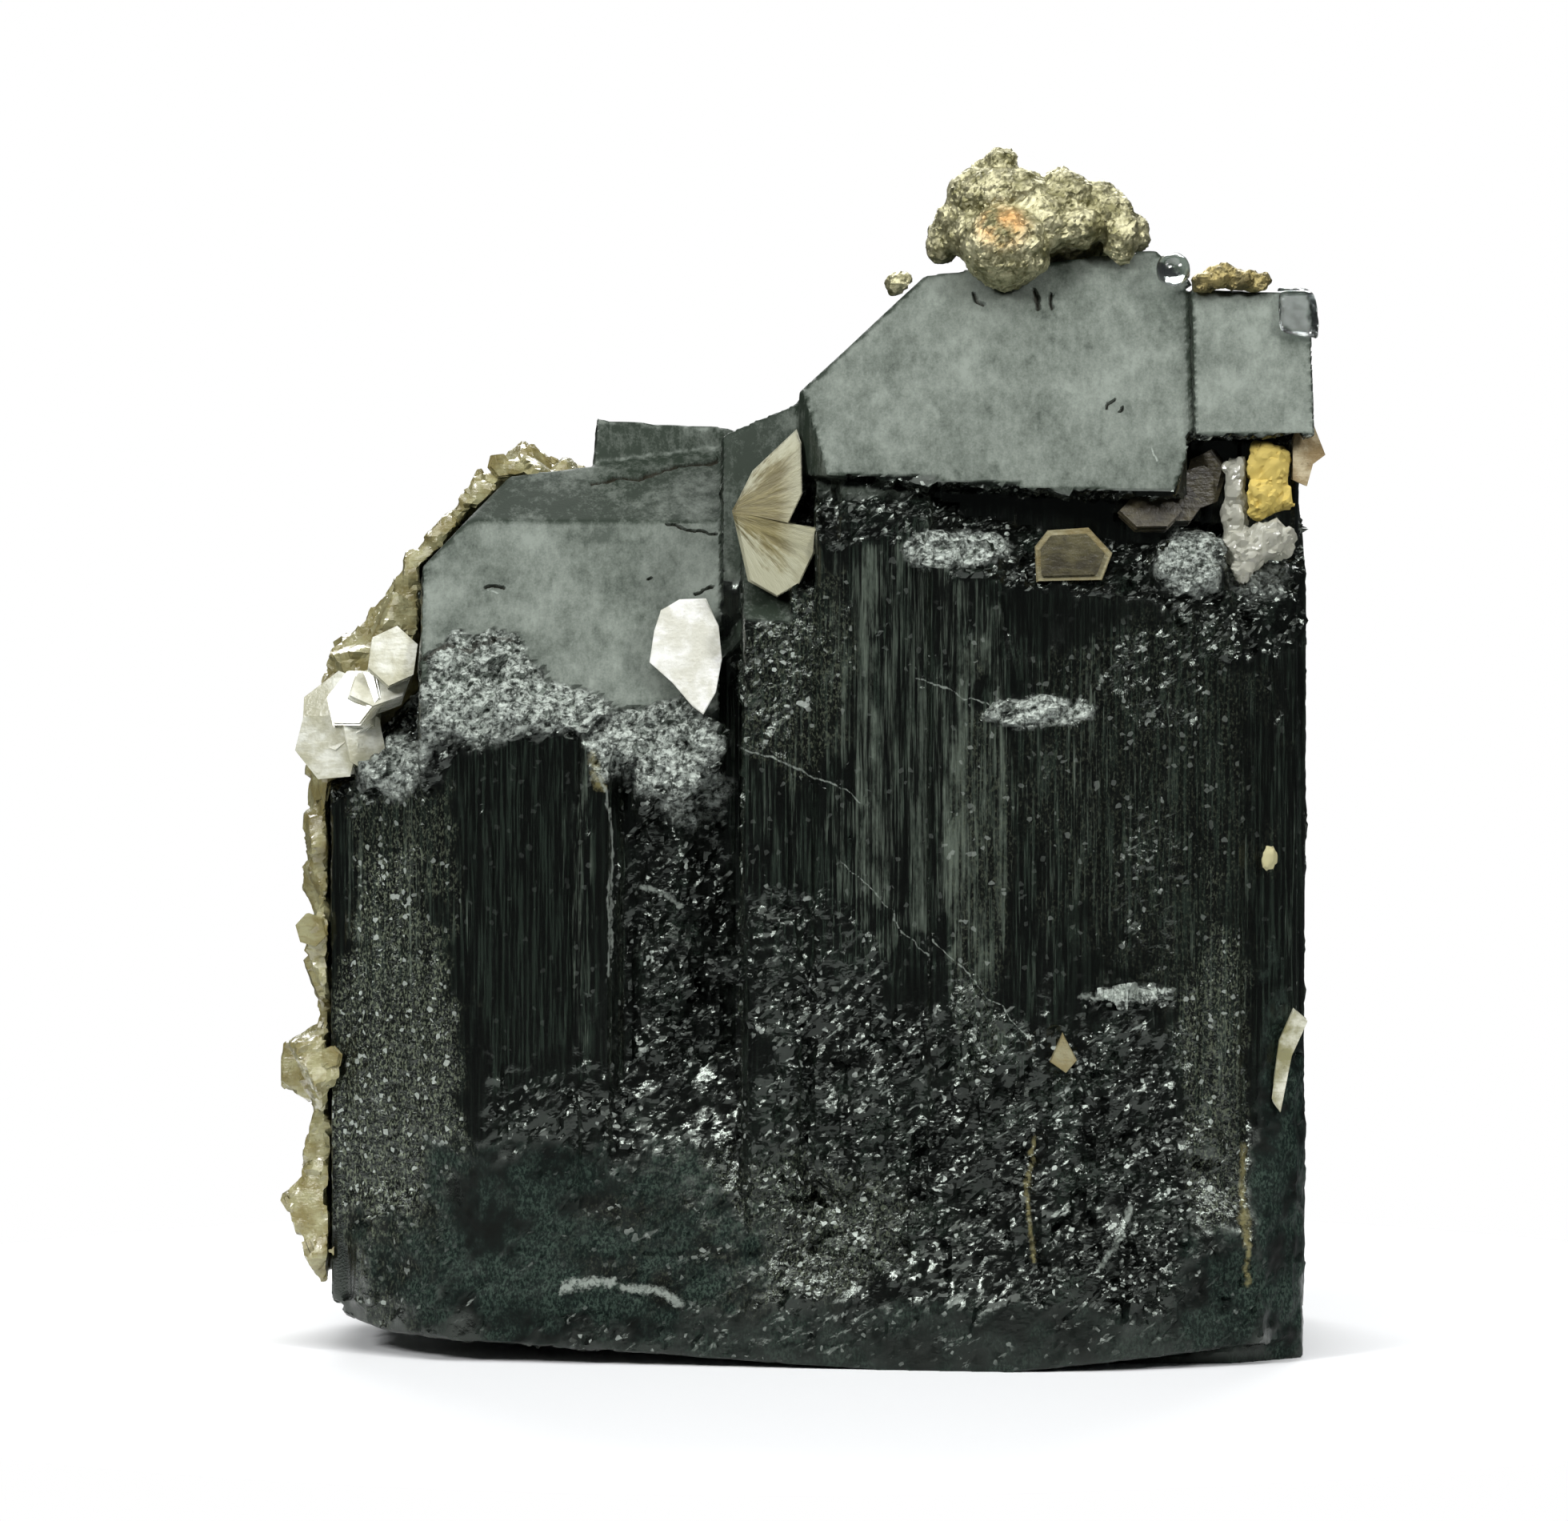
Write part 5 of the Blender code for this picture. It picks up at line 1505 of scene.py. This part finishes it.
WEDGE = Leaf(
    ((15.7, 19.2), (16.5, 21.0), (17.4, 19.3), (16.7, 18.5)),
    front=-19.2,
    thickness=2.6,
    lean=0.1,
)
SLIVER = Leaf(
    ((29.6, 16.4), (30.1, 20.2), (31.0, 22.2), (31.9, 21.4), (30.9, 19.2), (30.2, 15.6)),
    front=-14.9,
    thickness=2.6,
    lean=0.0,
)


def mineral_pieces() -> list[Piece]:
    """The pieces of every mineral but the ferberite."""
    return [
        MicaCrust("muscovite_left_crust", TAN_MICA, "tan_mica", 70, (0.5, 1.2), 3),
        MicaBooks("muscovite_left_rosette", PEARL_MICA, "pearly_mica", ROSETTE_BLADES, 4),
        MicaLeaves("muscovite_white_crystal", SILVER_MICA, "pearly_mica", (WHITE_LEAF,), 5),
        MicaLeaves("muscovite_centre_books", FanFinish(), "tan_mica", (UPPER_FAN, LOWER_FAN), 6),
        MicaLeaves("muscovite_dark_plate", RIM_MICA, "tan_mica", (SMOKY_RIM,), 7),
        MicaLeaves("muscovite_dark_plate", SMOKY_MICA, "smoky_mica", (SMOKY_FACE,), 7),
        MicaBooks("muscovite_brown_book", BROWN_MICA, "smoky_mica", BROWN_BLADES, 8),
        MicaLeaves("muscovite_right_books", FAN_MICA, "tan_mica", (EDGE_LEAF,), 9),
        MicaLeaves("muscovite_low_wedge", RIM_MICA, "tan_mica", (WEDGE,), 10),
        MicaLeaves("muscovite_right_sliver", EDGE_MICA, "pearly_mica", (SLIVER,), 11),
        Nugget("pyrite_cluster", PyriteFinish(), "pyrite", Texture(0.26, 1.1, 0.13, 0.34), 20, step=0.17),
        Nugget("pyrite_grain", PyriteFinish(), "pyrite", Texture(0.2, 0.7, 0.15, 0.34), 22),
        Nugget("brassy_crust", OLIVE_BRASS, "pyrite", Texture(0.3, 0.7, 0.15, 0.4), 24),
        Nugget("yellow_ochre_mass", OCHRE, "ochre", Texture(0.35, 0.8, 0.18, 0.4), 26),
        Nugget("siderite_bleb", PALE_CRUMB, "pale_bleb", Texture(0.2, 0.6, 0.08, 0.4), 28),
        Nugget("grey_quartz", GREY_QUARTZ, "grey_quartz", Texture(0.45, 1.0, 0.22, 0.45), 30),
        Nugget(
            "clear_quartz_corner",
            CLEAR_QUARTZ,
            "clear_quartz",
            Texture(0.12, 1.0, 0.03, 0.6),
            seed=32,
            sharp=GLASSY,
            soft=22,
        ),
        Nugget(
            "clear_quartz_bead",
            CLEAR_QUARTZ,
            "clear_quartz",
            Texture(0.1, 0.6, 0.04, 0.4),
            seed=34,
            sharp=GLASSY,
            soft=4,
        ),
    ]


@dataclass
class Studio:
    """The pale floor, the soft lights and the camera."""

    aim: tuple[float, float, float] = (-0.75, -12.0, 37.475)
    distance: float = 600.0
    frame_width: float = 98.0
    sensor: float = 36.0
    elevation: float = 3.5
    floor_radius: float = 75.0
    floor_sides: int = 96
    room_strength: float = 0.04

    @staticmethod
    def lamp(name: str, place: tuple, height: float, size: tuple[float, float], power: float) -> None:
        """Adds a rectangular soft light.

        Args:
            name: the light's name.
            place: its middle.
            height: how high up the specimen it shines.
            size: its width and height.
            power: its strength in watts.
        """
        data = bpy.data.lights.new(name, "AREA")
        data.shape = "RECTANGLE"
        data.size = size[0] * MM
        data.size_y = size[1] * MM
        data.energy = power
        lamp = bpy.data.objects.new(name, data)
        lamp.location = Vector(place) * MM
        way = Vector((0.0, 0.0, height)) - Vector(place)
        lamp.rotation_euler = way.to_track_quat("-Z", "Y").to_euler()
        bpy.context.scene.collection.objects.link(lamp)

    def build(self) -> None:
        """Makes the room, whose walls look white but light the specimen only faintly."""
        scene = bpy.context.scene
        scene.view_settings.view_transform = "Standard"
        world = bpy.data.worlds.new("soft_white_room")
        scene.world = world
        world.use_nodes = True
        nodes = world.node_tree.nodes
        links = world.node_tree.links
        room = nodes["Background"]
        room.inputs["Color"].default_value = (0.9, 0.95, 1.0, 1.0)
        room.inputs["Strength"].default_value = self.room_strength
        backdrop = nodes.new("ShaderNodeBackground")
        backdrop.inputs["Color"].default_value = (1.0, 1.0, 1.0, 1.0)
        backdrop.inputs["Strength"].default_value = 1.0
        seen = nodes.new("ShaderNodeLightPath")
        chosen = nodes.new("ShaderNodeMixShader")
        links.new(seen.outputs["Is Camera Ray"], chosen.inputs[0])
        links.new(room.outputs[0], chosen.inputs[1])
        links.new(backdrop.outputs[0], chosen.inputs[2])
        links.new(chosen.outputs[0], nodes["World Output"].inputs["Surface"])

        self.lamp("overhead", (0.0, -170.0, 420.0), 40.0, (520.0, 330.0), 1.35)
        self.lamp("left_key", (-300.0, -330.0, 300.0), 35.0, (70.0, 120.0), 1.5)
        self.lamp("right_key", (320.0, -300.0, 280.0), 35.0, (60.0, 110.0), 1.1)
        self.lamp("back_soft", (0.0, 380.0, 330.0), 40.0, (400.0, 200.0), 2.2)
        self.floor()
        self.camera()

    def floor(self) -> None:
        """Makes the round floor."""
        turns = np.linspace(0.0, 2.0 * math.pi, self.floor_sides, endpoint=False)
        radius = self.floor_radius * MM
        rim = [(radius * math.cos(turn), radius * math.sin(turn), 0.0) for turn in turns]
        floor = bpy.data.meshes.new("floor")
        floor.from_pydata(rim, [], [tuple(range(self.floor_sides))])
        floor.materials.append(FloorFinish().material())
        table = bpy.data.objects.new("floor", floor)
        bpy.context.scene.collection.objects.link(table)

    def camera(self) -> None:
        """Makes the camera, which looks at the specimen's front from a little above."""
        camera = bpy.data.cameras.new("camera")
        camera.sensor_width = self.sensor
        camera.lens = self.sensor * self.distance / self.frame_width
        camera.clip_start = 10.0 * MM
        view = bpy.data.objects.new("camera", camera)
        lift = math.radians(self.elevation)
        back = Vector((0.0, -math.cos(lift), math.sin(lift))) * self.distance
        view.location = (Vector(self.aim) + back) * MM
        view.rotation_euler = (-back).to_track_quat("-Z", "Y").to_euler()
        bpy.context.scene.collection.objects.link(view)
        bpy.context.scene.camera = view


def main() -> None:
    """Builds the scene."""
    logging.basicConfig(level=logging.INFO, format="%(message)s")
    Studio().build()
    FerberiteGroup().build()
    for piece in mineral_pieces():
        piece.build()


if __name__ == "__main__":
    main()
